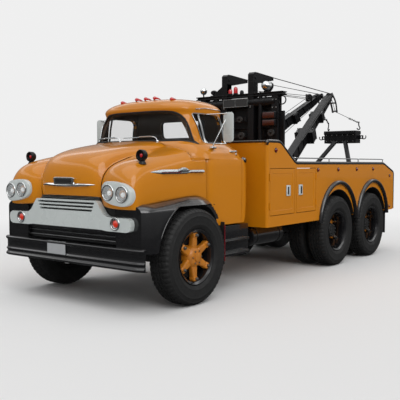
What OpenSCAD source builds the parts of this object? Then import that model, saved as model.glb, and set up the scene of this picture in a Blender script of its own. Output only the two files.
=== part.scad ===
// Twin-boom tow truck. Millimetres, +Z up, nose towards -Y, driver's side towards +X.
// Positions along the truck are measured from the front axle, see on_axle().

/* [Wheels and axles] */
// Outside radius of every tyre
tyre_r = 530; // [515:1:535]
// Width of one tyre
tyre_w = 275; // [250:1:280]
// Outer face of the tyres, from the middle of the truck
tyre_face_x = 1165; // [1160:1:1175]
// Front axle to the first rear axle
first_axle = 3480; // [3460:10:3500]
// Distance between the two rear axles
tandem = 1300; // [1290:10:1320]
// Distance of the front axle ahead of the frame's origin
axle_lead = 2640; // [2630:10:2650]

/* [Chassis] */
// Outer face of each frame rail, from the middle
rail_x = 430; // [420:1:435]
// Underside of the frame rails
rail_z = 660; // [655:1:670]
// Depth of the frame rails
rail_h = 220; // [200:5:225]
// Half width of the front bumper
bumper_half = 1120; // [1080:5:1125]

/* [Cab] */
// Thickness of the doors and cab walls
wall = 45; // [40:1:50]
// Gap round each door, lid and hood
seam = 7; // [6:1:8]
// Gap between the hood and the fenders
hood_gap = 14; // [11:1:15]

/* [Wrecker body] */
// Side face of the wrecker body, from the middle
side_x = 1150; // [1145:1:1152]
// Height of the side rail behind the slope
rail_top = 1544; // [1540:1:1550]
// Height of the front lockers
locker_top = 1820; // [1815:1:1830]
// Underside of the wrecker body
body_low = 735; // [730:1:745]
// Top of the deck plate
deck_top = 1300; // [1295:1:1310]

/* [Crane] */
// Mast, behind the front axle
mast_y = 2500; // [2495:5:2505]
// Top of the two mast heads
mast_top = 2885; // [2870:5:2890]
// Length of each boom from foot pin to head pin
boom_len = 2640; // [2600:10:2660]
// Rise of the parked booms above level
boom_rise = 28.7; // [28:0.1:29.5]
// Inward turn of the parked booms
boom_turn = 10.2; // [9.8:0.1:10.3]

/* [Hidden] */
$fn = 48;
tiny = 0.01;
second_axle = first_axle + tandem;
bogie = first_axle + tandem / 2;
tyre_x = tyre_face_x - tyre_w / 2;
dual_gap = 60;
rim_r = 285;
kingpin_x = 850;
boom_foot = [520, 2960, 1500];
hinge_y = 362;
cowl_y = 135;
arch_r = 665;
rear_arch_r = 600;
body_front = 1430;
body_rear = 5730;
slope_y = 2157;

// ---------- helpers ----------
module on_axle() translate([0, -axle_lead, 0]) children();
module both_sides() {
  children();
  mirror([1, 0, 0]) children();
}
module slab(x0, x1, y0, y1, z0, z1) translate([x0, y0, z0]) cube([x1 - x0, y1 - y0, z1 - z0]);
// An outline drawn in (y, z), given thickness along X
module side_plate(x0, x1) translate([x0, 0, 0]) rotate([90, 0, 90]) linear_extrude(x1 - x0) children();
// An outline drawn in (x, z), given thickness along Y
module cross_plate(y0, y1) translate([0, y1, 0]) rotate([90, 0, 0]) linear_extrude(y1 - y0) children();
module shaft_x(x0, x1, y, z, r) translate([x0, y, z]) rotate([0, 90, 0]) cylinder(r = r, h = x1 - x0);
module shaft_y(x, y0, y1, z, r) translate([x, y1, z]) rotate([90, 0, 0]) cylinder(r = r, h = y1 - y0);
module rod(p, q, r) {
  d = q - p;
  translate(p) rotate([0, acos(d[2] / norm(d)), atan2(d[1], d[0])]) cylinder(r = r, h = norm(d));
}
module rounded(w, h, r) {
  hull() for (sx = [-1, 1], sy = [-1, 1]) translate([sx * (w / 2 - r), sy * (h / 2 - r)]) circle(r);
}

function power(c, n) = sign(c) * pow(abs(c), 2 / n);
function joined(rings) = [for (r = rings) for (p = r) p];
ring_steps = 36;
// A closed solid through rings of points that have the same count
module loft(rings) {
  n = len(rings[0]);
  m = len(rings);
  sides = [for (k = [0:m - 2], i = [0:n - 1]) let (j = (i + 1) % n)
    each [[k * n + i, (k + 1) * n + i, (k + 1) * n + j], [k * n + i, (k + 1) * n + j, k * n + j]]];
  ends = [[for (i = [0:n - 1]) i], [for (i = [n - 1:-1:0]) (m - 1) * n + i]];
  polyhedron(points = joined(rings), faces = concat(ends, sides), convexity = 4);
}
// Level ring of the cab: height, half width, front, rear and squareness
function level_ring(s, g) = [for (i = [0:ring_steps - 1]) let (a = 360 * i / ring_steps)
  [(s[1] - g) * power(cos(a), s[4]), (s[2] + s[3]) / 2 + ((s[3] - s[2]) / 2 - g) * power(sin(a), s[4]), s[0]]];
// Upright ring across the truck: station, two sides, bottom, top and squareness
function upright_ring(s, g, n) = [for (i = [0:ring_steps - 1]) let (a = -360 * i / ring_steps)
  [(s[1] + s[2]) / 2 + ((s[2] - s[1]) / 2 - g) * power(cos(a), n), s[0],
   (s[3] + s[4]) / 2 + ((s[4] - s[3]) / 2 - g) * power(sin(a), n)]];

// ---------- chassis ----------
module rail() {
  difference() {
    slab(rail_x - 75, rail_x, -640, 5560, rail_z, rail_z + rail_h);
    slab(rail_x - 76, rail_x - 10, -641, 5561, rail_z + 10, rail_z + rail_h - 10);
  }
}
drawbar_z = 690;
drawbar_y = 5805;
module frame_rails() color("dimgray") on_axle() both_sides() rail();
// High enough for the drive shafts to pass below, with a deep one and the drawbar plate at the tail
module crossmembers() color("dimgray") on_axle() {
  for (y = [-560, 900, 1900, 2720, bogie])
    slab(-rail_x + 10, rail_x - 10, y - 40, y + 40, rail_z + 130, rail_z + rail_h - 25);
  slab(-rail_x + 10, rail_x - 10, 5420, 5500, rail_z + 25, rail_z + rail_h - 25);
  difference() {
    slab(-110, 110, 5440, 5860, drawbar_z, drawbar_z + 40);
    translate([0, drawbar_y, drawbar_z - 1]) cylinder(r = 20.5, h = 42);
  }
}
module engine_block() color("gray") on_axle() slab(-290, 290, -300, 330, 700, 1330);
module radiator() color("black") on_axle() slab(-400, 400, -620, -530, rail_z + rail_h, 1330);

eye_low = 450;
eye_high = 550;
module front_axle() color("dimgray") on_axle() difference() {
  union() {
    slab(-700, 700, -40, 40, 420, 500);
    both_sides() {
      slab(695, kingpin_x - 30, -40, 40, eye_low, 540);
      translate([kingpin_x, 0, eye_low]) cylinder(r = 45, h = eye_high - eye_low);
    }
  }
  both_sides() translate([kingpin_x, 0, eye_low - 1]) cylinder(r = 20.05, h = eye_high - eye_low + 2);
}
module leaf_spring(x, y_mid, half, z, leaves, w) {
  for (k = [0:leaves - 1])
    slab(x - w / 2, x + w / 2, y_mid - half * (1 - k / (leaves + 2)), y_mid + half * (1 - k / (leaves + 2)),
      z - 16 * (k + 1), z - 16 * k + tiny);
}
// Front springs under the rails, and one long rear spring a side that both drive axles share
module leaf_springs() color("dimgray") on_axle() both_sides() {
  leaf_spring(392, 0, 560, 580, 5, 72);
  slab(356, 428, -560, -500, 579, rail_z);
  slab(356, 428, 500, 560, 579, rail_z);
  leaf_spring(485, bogie, 690, 690, 5, 76);
  slab(rail_x, 525, bogie - 70, bogie + 70, 689, 780);
}
module knuckle(side) on_axle() mirror([side < 0 ? 1 : 0, 0, 0]) {
  for (z = [[eye_low - 46, eye_low - 6], [eye_high + 6, eye_high + 46]])
    hull() {
      translate([kingpin_x, 0, z[0]]) cylinder(r = 40, h = z[1] - z[0]);
      slab(kingpin_x + 60, kingpin_x + 85, -40, 40, z[0], z[1]);
    }
  translate([kingpin_x, 0, eye_low - 20]) cylinder(r = 20, h = eye_high - eye_low + 40);
  slab(kingpin_x + 55, kingpin_x + 85, -60, 60, eye_low - 46, eye_high + 46);
  shaft_x(kingpin_x + 80, kingpin_x + 240, 0, tyre_r, 34);
  slab(kingpin_x - 20, kingpin_x + 60, 46, 200, eye_low - 46, eye_low - 16);
}
module left_knuckle() color("dimgray") knuckle(1);
module right_knuckle() color("dimgray") knuckle(-1);

// ---------- wheels, axis along X and centred on their own middle ----------
// Half outlines from bead to crown, as [radius, place across the tyre]
tyre_outer = [[rim_r, 96], [rim_r + 2, 103.5], [rim_r + 26, 103.5], [rim_r + 26, 114], [335, 127], [375, 135],
  [420, tyre_w / 2], [460, tyre_w / 2 - 4], [492, tyre_w / 2 - 14], [513, tyre_w / 2 - 27],
  [tyre_r - 6, tyre_w / 2 - 45], [tyre_r, tyre_w / 2 - 80]];
tyre_inner = [[rim_r, 70], [320, 90], [360, 110], [420, 116], [470, 108], [496, 84], [504, 50]];
function mirrored(half) = concat(half, [for (i = [len(half) - 1:-1:0]) [half[i][0], -half[i][1]]]);
module tyre_body() rotate([0, 90, 0]) rotate_extrude($fn = 96) difference() {
  polygon(mirrored(tyre_outer));
  polygon(mirrored(tyre_inner));
}
rim_half = [[rim_r - 30, 112], [rim_r + 25, 113], [rim_r + 25, 104], [rim_r, 103.5], [rim_r, 96], [rim_r, 0],
  [rim_r - 12, 0], [rim_r - 12, 100], [rim_r - 30, 104]];
module rim_band() rotate_extrude($fn = 96) {
  polygon(rim_half);
  mirror([0, 1]) polygon(rim_half);
}
// Rim band, six cast spokes and hub; the dish is the spokes' place from the middle
module cast_wheel(dish, hub_from, hub_to, bore) rotate([0, 90, 0]) difference() {
  union() {
    rim_band();
    translate([0, 0, dish - 30]) for (a = [0:60:300]) rotate(a)
      translate([60, -42, 0]) cube([rim_r - 66, 84, 60]);
    translate([0, 0, hub_from]) cylinder(r = 105, h = hub_to - hub_from);
  }
  translate([0, 0, hub_from - 1]) cylinder(r = bore, h = min(hub_to - hub_from, 240) - 20);
}
module wheel_place(side, x, y) on_axle() mirror([side < 0 ? 1 : 0, 0, 0]) translate([x, y, tyre_r]) children();
module front_tyre(side) wheel_place(side, tyre_x, 0) tyre_body();
module front_wheel(side) wheel_place(side, tyre_x, 0) cast_wheel(40, -60, 120, 34.05);
module rear_tyres(side, y) for (x = [tyre_x, tyre_x - tyre_w - dual_gap]) wheel_place(side, x, y) tyre_body();
module rear_wheels(side, y) {
  wheel_place(side, tyre_x, y) cast_wheel(-60, -150, 60, 50.05);
  wheel_place(side, tyre_x - tyre_w - dual_gap, y) rotate([0, 90, 0]) rim_band();
  // spacer band between the two rims of a pair
  wheel_place(side, tyre_x, y) rotate([0, 90, 0]) difference() {
    translate([0, 0, -tyre_w - dual_gap + 105]) cylinder(r = rim_r - 12, h = tyre_w + dual_gap - 210);
    translate([0, 0, -tyre_w - dual_gap]) cylinder(r = rim_r - 30, h = tyre_w + dual_gap);
  }
}
module left_front_tyre() color("black") front_tyre(1);
module right_front_tyre() color("black") front_tyre(-1);
module left_front_wheel() color("darkorange") front_wheel(1);
module right_front_wheel() color("darkorange") front_wheel(-1);
module left_first_tyres() color("black") rear_tyres(1, first_axle);
module right_first_tyres() color("black") rear_tyres(-1, first_axle);
module left_second_tyres() color("black") rear_tyres(1, second_axle);
module right_second_tyres() color("black") rear_tyres(-1, second_axle);
module left_first_wheels() color("darkorange") rear_wheels(1, first_axle);
module right_first_wheels() color("darkorange") rear_wheels(-1, first_axle);
module left_second_wheels() color("darkorange") rear_wheels(1, second_axle);
module right_second_wheels() color("darkorange") rear_wheels(-1, second_axle);

module drive_axle(y) on_axle() {
  shaft_x(-560, 560, y, tyre_r, 75);
  translate([0, y, tyre_r]) rotate([90, 0, 0]) cylinder(r = 190, h = 190, center = true);
  both_sides() {
    shaft_x(555, 1050, y, tyre_r, 50);
    slab(450, 525, y - 45, y + 45, 540, 674);
    shaft_x(540, 700, y, tyre_r, 205);
  }
}
module drive_axles() color("black") for (y = [first_axle, second_axle]) drive_axle(y);
module drive_shafts() color("dimgray") on_axle() {
  rod([0, 330, 760], [0, first_axle - 94, 560], 50);
  rod([0, first_axle + 94, 540], [0, second_axle - 94, 540], 45);
}

// ---------- front end ----------
bumper_y = -860;
module front_bumper() color("black") on_axle() {
  difference() {
    union() {
      cross_plate(bumper_y, bumper_y + 50) translate([0, 580]) rounded(2 * bumper_half, 220, 30);
      slab(-940, 940, bumper_y + 50, bumper_y + 110, 660, 690);
      slab(-940, 940, bumper_y + 50, bumper_y + 110, 470, 500);
    }
    for (z = [525, 600]) slab(-bumper_half + 10, bumper_half - 10, bumper_y - 1, bumper_y + 10, z, z + 35);
  }
  both_sides() slab(rail_x - 70, rail_x - 12, bumper_y + 50, -640, 560, 640);
  both_sides() slab(rail_x - 70, rail_x - 12, -700, -600, 560, rail_z);
}
module front_apron() color("black") on_axle() {
  hull() for (x = [-908, 908]) translate([x, -745, 695]) cylinder(r = 42, h = 150);
  both_sides() slab(rail_x - 60, rail_x, -710, -640, 700, 840);
}
grille_y = -850;
module grille_panel() color("whitesmoke") on_axle() difference() {
  union() {
    hull() both_sides() translate([925, grille_y + 40, 930]) rotate([90, 0, 0]) cylinder(r = 72, h = 40);
    cross_plate(grille_y, grille_y + 40) polygon([[-640, 930], [-560, 1010], [-490, 1150], [490, 1150],
      [560, 1010], [640, 930]]);
    slab(-300, 300, grille_y + 40, -620, 900, 960);
  }
  for (z = [1030, 1072, 1114]) slab(-430, 430, grille_y - 1, grille_y + 41, z, z + 22);
}
headlight_y = -868;
module headlights() color("silver") on_axle() both_sides() {
  cross_plate(headlight_y - 14, headlight_y) hull() {
    translate([675, 1295]) circle(55);
    translate([900, 1270]) circle(75);
    translate([690, 1220]) circle(70);
    translate([915, 1205]) circle(60);
  }
  for (x = [715, 892]) shaft_y(x, headlight_y - 34, headlight_y - 13.99, 1242, 66);
}

hood_stations = [[-845, 410, 1240, 1390], [-836, 445, 1210, 1470], [-805, 475, 1195, 1545],
  [-750, 495, 1190, 1602], [-670, 512, 1190, 1645], [-540, 535, 1190, 1690], [-300, 570, 1190, 1738],
  [-60, 612, 1190, 1775], [cowl_y, 615, 1190, 1800]];
module hood_form(g) loft([for (s = hood_stations) upright_ring([s[0], -s[1], s[1], s[2], s[3]], g, 4.2)]);
module below_seam() side_plate(-1200, 1200) polygon([[-1000, 1000], [-1000, 1205], [-802, 1205],
  [-775, 1450], [cowl_y + 20, 1640], [cowl_y + 20, 1000]]);
hood_hinge = [140, 1806];
module hood() color("orange") on_axle() {
  difference() {
    hood_form(0);
    translate([0, 12, 0]) hood_form(25);
    below_seam();
  }
  both_sides() shaft_x(240, 310, hood_hinge[0], hood_hinge[1], 14);
}
fender_stations = [[headlight_y, 600, 985, 1125, 1355], [-855, 575, 1003, 1105, 1400],
  [-820, 550, 1014, 1090, 1455], [-760, 530, 1018, 1080, 1512], [-680, 515, 1020, 1080, 1555],
  [-560, 505, 1020, 1080, 1588], [-350, 500, 1020, 1080, 1622], [-100, 500, 1018, 1080, 1660],
  [cowl_y, 500, 1012, 1080, 1700], [356, 500, 1004, 1080, 1735]];
module fender_form(g) loft([for (s = fender_stations) upright_ring([s[0], s[1], s[2], s[3], s[4]], g, 3)]);
module fenders() color("orange") on_axle() both_sides() {
  difference() {
    fender_form(0);
    translate([0, 24, 0]) fender_form(24);
    slab(0, 1100, -806, 400, 1000, 1130);
    slab(0, 1100, cowl_y - seam, 400, 1590, 1900);
    slab(0, 960, cowl_y - 60, 400, 1000, 1900);
    hood_form(-hood_gap);
    slab(0, 500, -900, 400, 1000, 1700);
  }
}
module fender_extensions() color("black") on_axle() both_sides() difference() {
  union() {
    hull() {
      shaft_y(1115, -800, -780, 1095, 35);
      slab(960, 980, -800, -780, 640, 1129);
      slab(1130, 1150, -800, -780, 640, 700);
      slab(1130, 1150, -640, -620, 640, 700);
      slab(1130, 1150, 300, 330, 1000, 1129);
      slab(960, 980, 300, 330, 1000, 1129);
    }
    slab(690, 965, -800, -765, 850, 1079);
  }
  slab(900, 1115, -765, 600, 600, 1094);
  // the arch stops below the ledge, which runs on over the wheel
  intersection() {
    shaft_x(900, 1200, 0, tyre_r, 640);
    slab(899, 1201, -700, 700, -200, 1096);
  }
  slab(900, 1200, -300, 600, 600, 800);
}

// ---------- cab ----------
cab_levels = [[820, 984, 362, 1240, 12], [900, 994, 362, 1250, 12], [1200, 1003, 362, 1258, 11],
  [1500, 1003, 362, 1258, 10], [1598, 990, 362, 1252, 9], [1600, 989, 141, 1252, 7],
  [1680, 955, 143, 1240, 5.5], [1740, 905, 150, 1225, 4.8], [1780, 850, 165, 1210, 4.4],
  [1800, 815, 190, 1200, 4.2], [2000, 765, 255, 1165, 4.1], [2140, 730, 295, 1130, 4],
  [2175, 735, 280, 1135, 4], [2215, 725, 285, 1125, 3.8], [2260, 680, 320, 1080, 3.4],
  [2300, 590, 380, 1010, 3], [2325, 460, 460, 920, 2.8], [2336, 300, 560, 820, 2.6]];
// The room inside, drawn to the outside of its walls
cabin_levels = [[930, 992, 365, 1251, 10], [1500, 1003, 365, 1257, 9], [1700, 945, 365, 1240, 6],
  [1780, 845, 365, 1215, 5], [1806, 817, 205, 1201, 4.2], [2000, 767, 255, 1165, 4.1],
  [2140, 733, 295, 1131, 4], [2215, 705, 315, 1105, 3.8], [2270, 605, 385, 1025, 3]];
module cab_form() loft([for (s = cab_levels) level_ring(s, 0)]);
module cabin_form() loft([for (s = cabin_levels) level_ring(s, wall)]);
module cab_skin() difference() {
  cab_form();
  cabin_form();
}
liner = 35;
module wheelhouse() intersection() {
  cab_form();
  both_sides() shaft_x(515, 1100, 0, tyre_r, arch_r + liner);
}
// Vertical hinge line of the cab doors
door_hinge = [1012, 356];
// Door outline in (y, z), drawn smaller by g
module door_outline(g) offset(delta = -g) polygon([[hinge_y, 1440], [hinge_y, 1735], [440, 1790], [395, 2160],
  [1110, 2160], [1110, 850], [655, 850], [655, 1440]]);
// The rear edge is turned about the hinge line, so that the door keeps its gap as it swings
module door_block(g) intersection() {
  side_plate(500, 1100) door_outline(g);
  cross_plate(0, 1300) polygon([[910, 800], [910, 1690], [830, 1760], [660, 1800], [600, 2250], [1100, 2250],
    [1100, 800]]);
  translate([door_hinge[0], door_hinge[1], 0]) rotate_extrude($fn = 96)
    polygon([[0, 800], [724 - g, 800], [724 - g, 1600], [740 - g, 1790], [740 - g, 2200], [0, 2200]]);
}
module side_glass_outline(g) offset(delta = g) polygon([[550, 1782], [468, 2130], [980, 2130], [1012, 1782]]);
module windshield_outline(g) offset(delta = g) polygon([[50, 1814], [300, 1814], [388, 1782], [366, 2168],
  [50, 2168]]);
rear_glass = [760, 230];
module cab_shell() color("orange") on_axle() difference() {
  union() {
    cab_skin();
    wheelhouse();
  }
  both_sides() shaft_x(550, 1101, 0, tyre_r, arch_r);
  slab(-rail_x - 20, rail_x + 20, 300, 1300, 800, rail_z + rail_h + 5);
  both_sides() door_block(0);
  side_plate(-1100, 1100) windshield_outline(0);
  cross_plate(1000, 1300) translate([0, 1995]) rounded(rear_glass[0], rear_glass[1], 50);
}
// Glass sits in the middle of the wall: a thinner skin inside the same form
module glass_skin() difference() {
  loft([for (s = cab_levels) level_ring(s, 15)]);
  loft([for (s = cab_levels) level_ring(s, 23)]);
}
module cab_glass() color("lightblue") on_axle() intersection() {
  glass_skin();
  union() {
    side_plate(-1100, 1100) windshield_outline(0);
    cross_plate(1000, 1300) translate([0, 1995]) rounded(rear_glass[0], rear_glass[1], 50);
  }
}
module door() difference() {
  intersection() {
    cab_skin();
    door_block(seam);
  }
  side_plate(500, 1100) side_glass_outline(0);
}
module door_glass() intersection() {
  glass_skin();
  side_plate(500, 1100) side_glass_outline(0);
}
module mirror_arm() {
  slab(1000, 1140, 680, 705, 1795, 2143);
  rod([955, 560, 1738], [1060, 692, 1800], 8);
  rod([740, 640, 2125], [1060, 692, 2125], 8);
  rod([955, 560, 1738], [1060, 692, 2125], 7);
  slab(916, 985, 520, 600, 1690, 1740);
}
module left_door() color("orange") on_axle() door();
module right_door() color("orange") on_axle() mirror([1, 0, 0]) door();
module left_door_glass() color("lightblue") on_axle() door_glass();
module right_door_glass() color("lightblue") on_axle() mirror([1, 0, 0]) door_glass();
module left_mirror() color("silver") on_axle() mirror_arm();
module right_mirror() color("silver") on_axle() mirror([1, 0, 0]) mirror_arm();
module bench_seat() color("saddlebrown") on_axle() {
  hull() for (y = [690, 1110], z = [1180, 1290]) shaft_x(-800, 800, y, z, 40);
  hull() for (p = [[1110, 1330], [1092, 1720]]) shaft_x(-700, 700, p[0], p[1], 45);
  slab(-760, 760, 710, 1100, 930, 1141);
}
module dashboard() color("orange") on_axle() {
  slab(-640, 640, 432, 530, 1480, 1735);
  slab(-250, 250, 411, 433, 1500, 1700);
}
wheel_hub = [380, 690, 1690];
module steering_wheel() color("black") on_axle() {
  rod([380, 500, 1520], wheel_hub, 22);
  translate(wheel_hub) rotate([-42, 0, 0]) {
    rotate_extrude($fn = 64) translate([205, 0]) circle(13, $fn = 16);
    for (a = [90, 210, 330]) rotate(a) translate([0, -9, -6]) cube([204, 18, 12]);
    cylinder(r = 34, h = 30, center = true);
  }
}
module marker_lamps() color("red") on_axle() {
  for (x = [-390, -145, 0, 145, 390]) hull() {
    translate([x, 430, 2300]) cylinder(r = 20, h = 60);
    translate([x, 500, 2300]) cylinder(r = 12, h = 44);
  }
  both_sides() {
    translate([902, -590, 1545]) cylinder(r = 10, h = 60);
    shaft_y(902, -625, -565, 1631, 42);
  }
  mast_lamps();
}
module side_tanks() color("black") on_axle() {
  both_sides() slab(rail_x + 20, 960, 690, 1290, 430, 800);
  both_sides() slab(rail_x, 500, 800, 1180, 700, 760);
  both_sides() slab(960, 1000, 720, 1260, 430, 470);
  both_sides() shaft_y(800, 1480, 2240, 590, 120);
  both_sides() slab(760, 840, 1560, 1600, 600, body_low);
  both_sides() slab(760, 840, 2120, 2160, 600, body_low);
}

// ---------- wrecker body ----------
floor_t = 50;
skin_t = 40;
locker_in = 560;
locker_low = 876;
door_top = 1487;
module body_outline() polygon([[body_front, body_low], [body_front, locker_top], [1750, locker_top],
  [slope_y, rail_top], [5270, rail_top], [body_rear, 1394], [body_rear, 752], [body_rear - 60, body_low]]);
module arch_holes(r) for (y = [first_axle, second_axle]) shaft_x(400, 1300, y, 560, r);
lap = 10; // how far the walls run into each other where they are welded
inner_x = side_x - skin_t;
// The two outer panels, with the wheel arches and the lockers' door holes
module body_sides() color("orange") on_axle() both_sides() difference() {
  side_plate(inner_x, side_x) body_outline();
  arch_holes(rear_arch_r);
  locker_doors_hole();
}
// A tall front locker and a low rear one a side, closed outwards by the panels and their doors
module locker_boxes() color("orange") on_axle() both_sides() {
  difference() {
    side_plate(locker_in, inner_x) polygon([[body_front, body_low], [body_front, locker_top],
      [1750, locker_top], [slope_y, rail_top], [slope_y + 15, rail_top - lap], [slope_y + 15, body_low]]);
    side_plate(locker_in + 30, side_x) polygon([[body_front + skin_t, body_low + 40],
      [body_front + skin_t, locker_top - skin_t], [1738, locker_top - skin_t], [slope_y - 15, rail_top - 38],
      [slope_y - 15, body_low + 40]]);
  }
  difference() {
    slab(locker_in, inner_x, slope_y, 2790, body_low, deck_top - floor_t);
    slab(locker_in + 30, side_x, slope_y + 15, 2760, body_low + 40, deck_top - floor_t - 20);
  }
}
deck_front = slope_y + 15;
module wrecker_body() color("orange") on_axle() {
  difference() {
    slab(-inner_x, inner_x, deck_front, body_rear - 30, deck_top - floor_t, deck_top);
    both_sides() translate([boom_foot[0], boom_foot[1], deck_top - floor_t - 1])
      cylinder(r = 30.05, h = floor_t + 2);
  }
  slab(-inner_x, inner_x, body_rear - 40, body_rear, 752, deck_top + 20);
  // lugs that hold the towing bar's foot pins
  both_sides() for (x = [leg_foot[0] - 96, leg_foot[0] + 58]) difference() {
    slab(x, x + 24, leg_foot[1] - 45, leg_foot[1] + 45, deck_top - lap, leg_foot[2] + 45);
    shaft_x(x - 1, x + 25, leg_foot[1], leg_foot[2], 20.12);
  }
  // wall behind the cab, floor of the front bay and the rails under the deck
  slab(-locker_in, locker_in, body_front, body_front + skin_t, rail_z + rail_h, locker_top);
  slab(-locker_in, locker_in, body_front + lap, deck_front + lap, deck_top - floor_t, deck_top);
  both_sides() slab(rail_x - 60, rail_x - 12, slope_y, 5480, rail_z + rail_h, deck_top - lap);
}
module locker_door_outline(y0, y1, g) translate([(y0 + y1) / 2, (locker_low + door_top) / 2])
  square([y1 - y0 - 2 * g, door_top - locker_low - 2 * g], center = true);
locker_hinge_x = 1154;
module locker_doors_hole() {
  side_plate(1000, 1200) locker_door_outline(1490, 2140, 0);
  side_plate(1000, 1200) locker_door_outline(2180, 2740, 0);
  for (y = [1488, 2742], z = hinge_heights) translate([locker_hinge_x, y, z - 6]) cylinder(r = 18, h = 92);
}
// A locker door, with the knuckles of its hinge at height z on the line y_hinge
hinge_heights = [960, 1330];
module locker_door(y0, y1, y_hinge) {
  side_plate(inner_x + 6, side_x) locker_door_outline(y0, y1, seam);
  for (z = hinge_heights) translate([locker_hinge_x, y_hinge, z]) cylinder(r = 12, h = 80);
}
module left_front_locker_door() color("orange") on_axle() locker_door(1490, 2140, 1488);
module left_rear_locker_door() color("orange") on_axle() locker_door(2180, 2740, 2742);
module right_front_locker_door() color("orange") on_axle() mirror([1, 0, 0]) locker_door(1490, 2140, 1488);
module right_rear_locker_door() color("orange") on_axle() mirror([1, 0, 0]) locker_door(2180, 2740, 2742);
module arch_flares() color("black") on_axle() both_sides() for (y = [first_axle, second_axle])
  difference() {
    shaft_x(side_x, side_x + 50, y, 650, 645);
    shaft_x(side_x - 1, side_x + 51, y, 570, 586);
    slab(side_x - 1, side_x + 51, y - 700, y + 700, -100, 700);
  }
module deck_rails() color("black") on_axle() both_sides() {
  shaft_y(1130, slope_y, 5270, 1622, 9);
  for (y = [slope_y + 10, 3190, 4230, 5255]) slab(1122, 1138, y - 8, y + 8, rail_top, 1616);
}

// ---------- crane ----------
post_x = 235;
column_x = 640;
post_half = 50;
module mast() color("black") on_axle() {
  both_sides() {
    slab(column_x - 50, column_x + 50, mast_y - 60, mast_y + 60, deck_top, 2530);
    slab(post_x - post_half, post_x + post_half, mast_y - 60, mast_y + 60, deck_top, mast_top - 140);
    side_plate(post_x - post_half, post_x + post_half) polygon([[mast_y - 60, mast_top - 140.01],
      [mast_y - 60, mast_top - 30], [mast_y - 20, mast_top], [mast_y + 60, mast_top],
      [mast_y + 500, mast_top - 22], [mast_y + 500, mast_top - 75], [mast_y + 60, mast_top - 160]]);
    slab(column_x + 49, 770, mast_y - 20, mast_y + 20, deck_top, 2300);
  }
  mirror([1, 0, 0]) cross_plate(mast_y - 30, mast_y + 30)
    polygon([[post_x + post_half - lap, 2570], [post_x + post_half - lap, 2720], [470, 2600], [470, 2570]]);
  // housing between the columns, over the winches
  slab(-column_x - 10, column_x + 10, mast_y + 45, mast_y + 59, 1760, 2400);
  slab(-770, 770, mast_y - 70, mast_y + 70, 2525, 2575);
  shaft_x(-column_x, column_x, mast_y, 2440, 72);
  slab(-700, 700, mast_y - 110, mast_y + 110, deck_top, deck_top + 60);
}
module mast_lamps() {
  for (x = [-120, -20, 80]) translate([x, mast_y - 40, 2575]) cylinder(r = 34, h = 90);
  translate([-674, mast_y, 2575]) cylinder(r = 10, h = 60);
  translate([-674, mast_y, 2669]) sphere(r = 55);
  translate([440, mast_y, 2575]) cylinder(r = 10, h = 40);
  shaft_y(440, mast_y - 50, mast_y + 60, 2660, 68);
}
module winches() color("black") on_axle() both_sides() {
  shaft_x(post_x + post_half, column_x - 50, mast_y - 20, 1620, 118);
  slab(320, 570, mast_y + 110, mast_y + 200, deck_top, 1700);
}
swivel_r = 110;
module boom_swivel(side) on_axle() mirror([side < 0 ? 1 : 0, 0, 0]) difference() {
  union() {
    translate([boom_foot[0], boom_foot[1], deck_top + 1]) cylinder(r = swivel_r, h = 79);
    translate([boom_foot[0], boom_foot[1], deck_top - floor_t]) cylinder(r = 30, h = floor_t + 10);
    translate([boom_foot[0], boom_foot[1], 0]) rotate(boom_turn)
      for (s = [-1, 1]) translate([s * 85 - 12, -70, deck_top + 70]) cube([24, 140, 195]);
  }
  translate([boom_foot[0], boom_foot[1], boom_foot[2]]) rotate(boom_turn) rotate([0, 90, 0])
    cylinder(r = 22.05, h = 300, center = true);
}
// Centre of the left boom's head sheave
function boom_head() = boom_foot + (boom_len + 55) * [-sin(boom_turn) * cos(boom_rise),
  cos(boom_turn) * cos(boom_rise), sin(boom_rise)];
// Boom drawn along +Y from its foot pin, then raised and turned
module boom_place(side) on_axle() mirror([side < 0 ? 1 : 0, 0, 0])
  translate(boom_foot) rotate(boom_turn) rotate([boom_rise, 0, 0]) children();
module boom(side) boom_place(side) {
  shaft_x(-96, 96, 0, 0, 22);
  difference() {
    side_plate(-66, 66) polygon([[-60, -60], [-60, 60], [120, 90], [1400, 85], [boom_len - 50, 50],
      [boom_len - 50, -50], [1400, -85], [120, -90]]);
    side_plate(-56, 56) polygon([[160, -70], [160, 70], [1400, 65], [boom_len - 160, 40], [boom_len - 160, -40],
      [1400, -65]]);
  }
  slab(-150, 150, 1010, 1190, -125, 70);
  slab(-115, 115, 1740, 1860, -100, 62);
  for (s = [-1, 1]) slab(s * 42 - 7, s * 42 + 7, boom_len - 60, boom_len + 110, -50, 50);
  shaft_x(-36, 36, boom_len + 55, 0, 42);
}
// Wire ropes that hold each boom up. They belong to the boom and stop short of the mast.
cable_stop = 900;
module boom_cables(side) on_axle() mirror([side < 0 ? 1 : 0, 0, 0]) {
  head = boom_head();
  for (s = [-1, 1]) {
    p = [post_x + s * 45, mast_y + 500, mast_top - 50];
    q = [head[0] + s * 20, head[1], head[2] + 5];
    rod(p + (q - p) * cable_stop / norm(q - p), q, 8);
  }
}
module left_boom_cables() color("gray") boom_cables(1);
module right_boom_cables() color("gray") boom_cables(-1);
module left_boom_swivel() color("black") boom_swivel(1);
module right_boom_swivel() color("black") boom_swivel(-1);
module left_boom() color("black") boom(1);
module right_boom() color("black") boom(-1);

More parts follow.
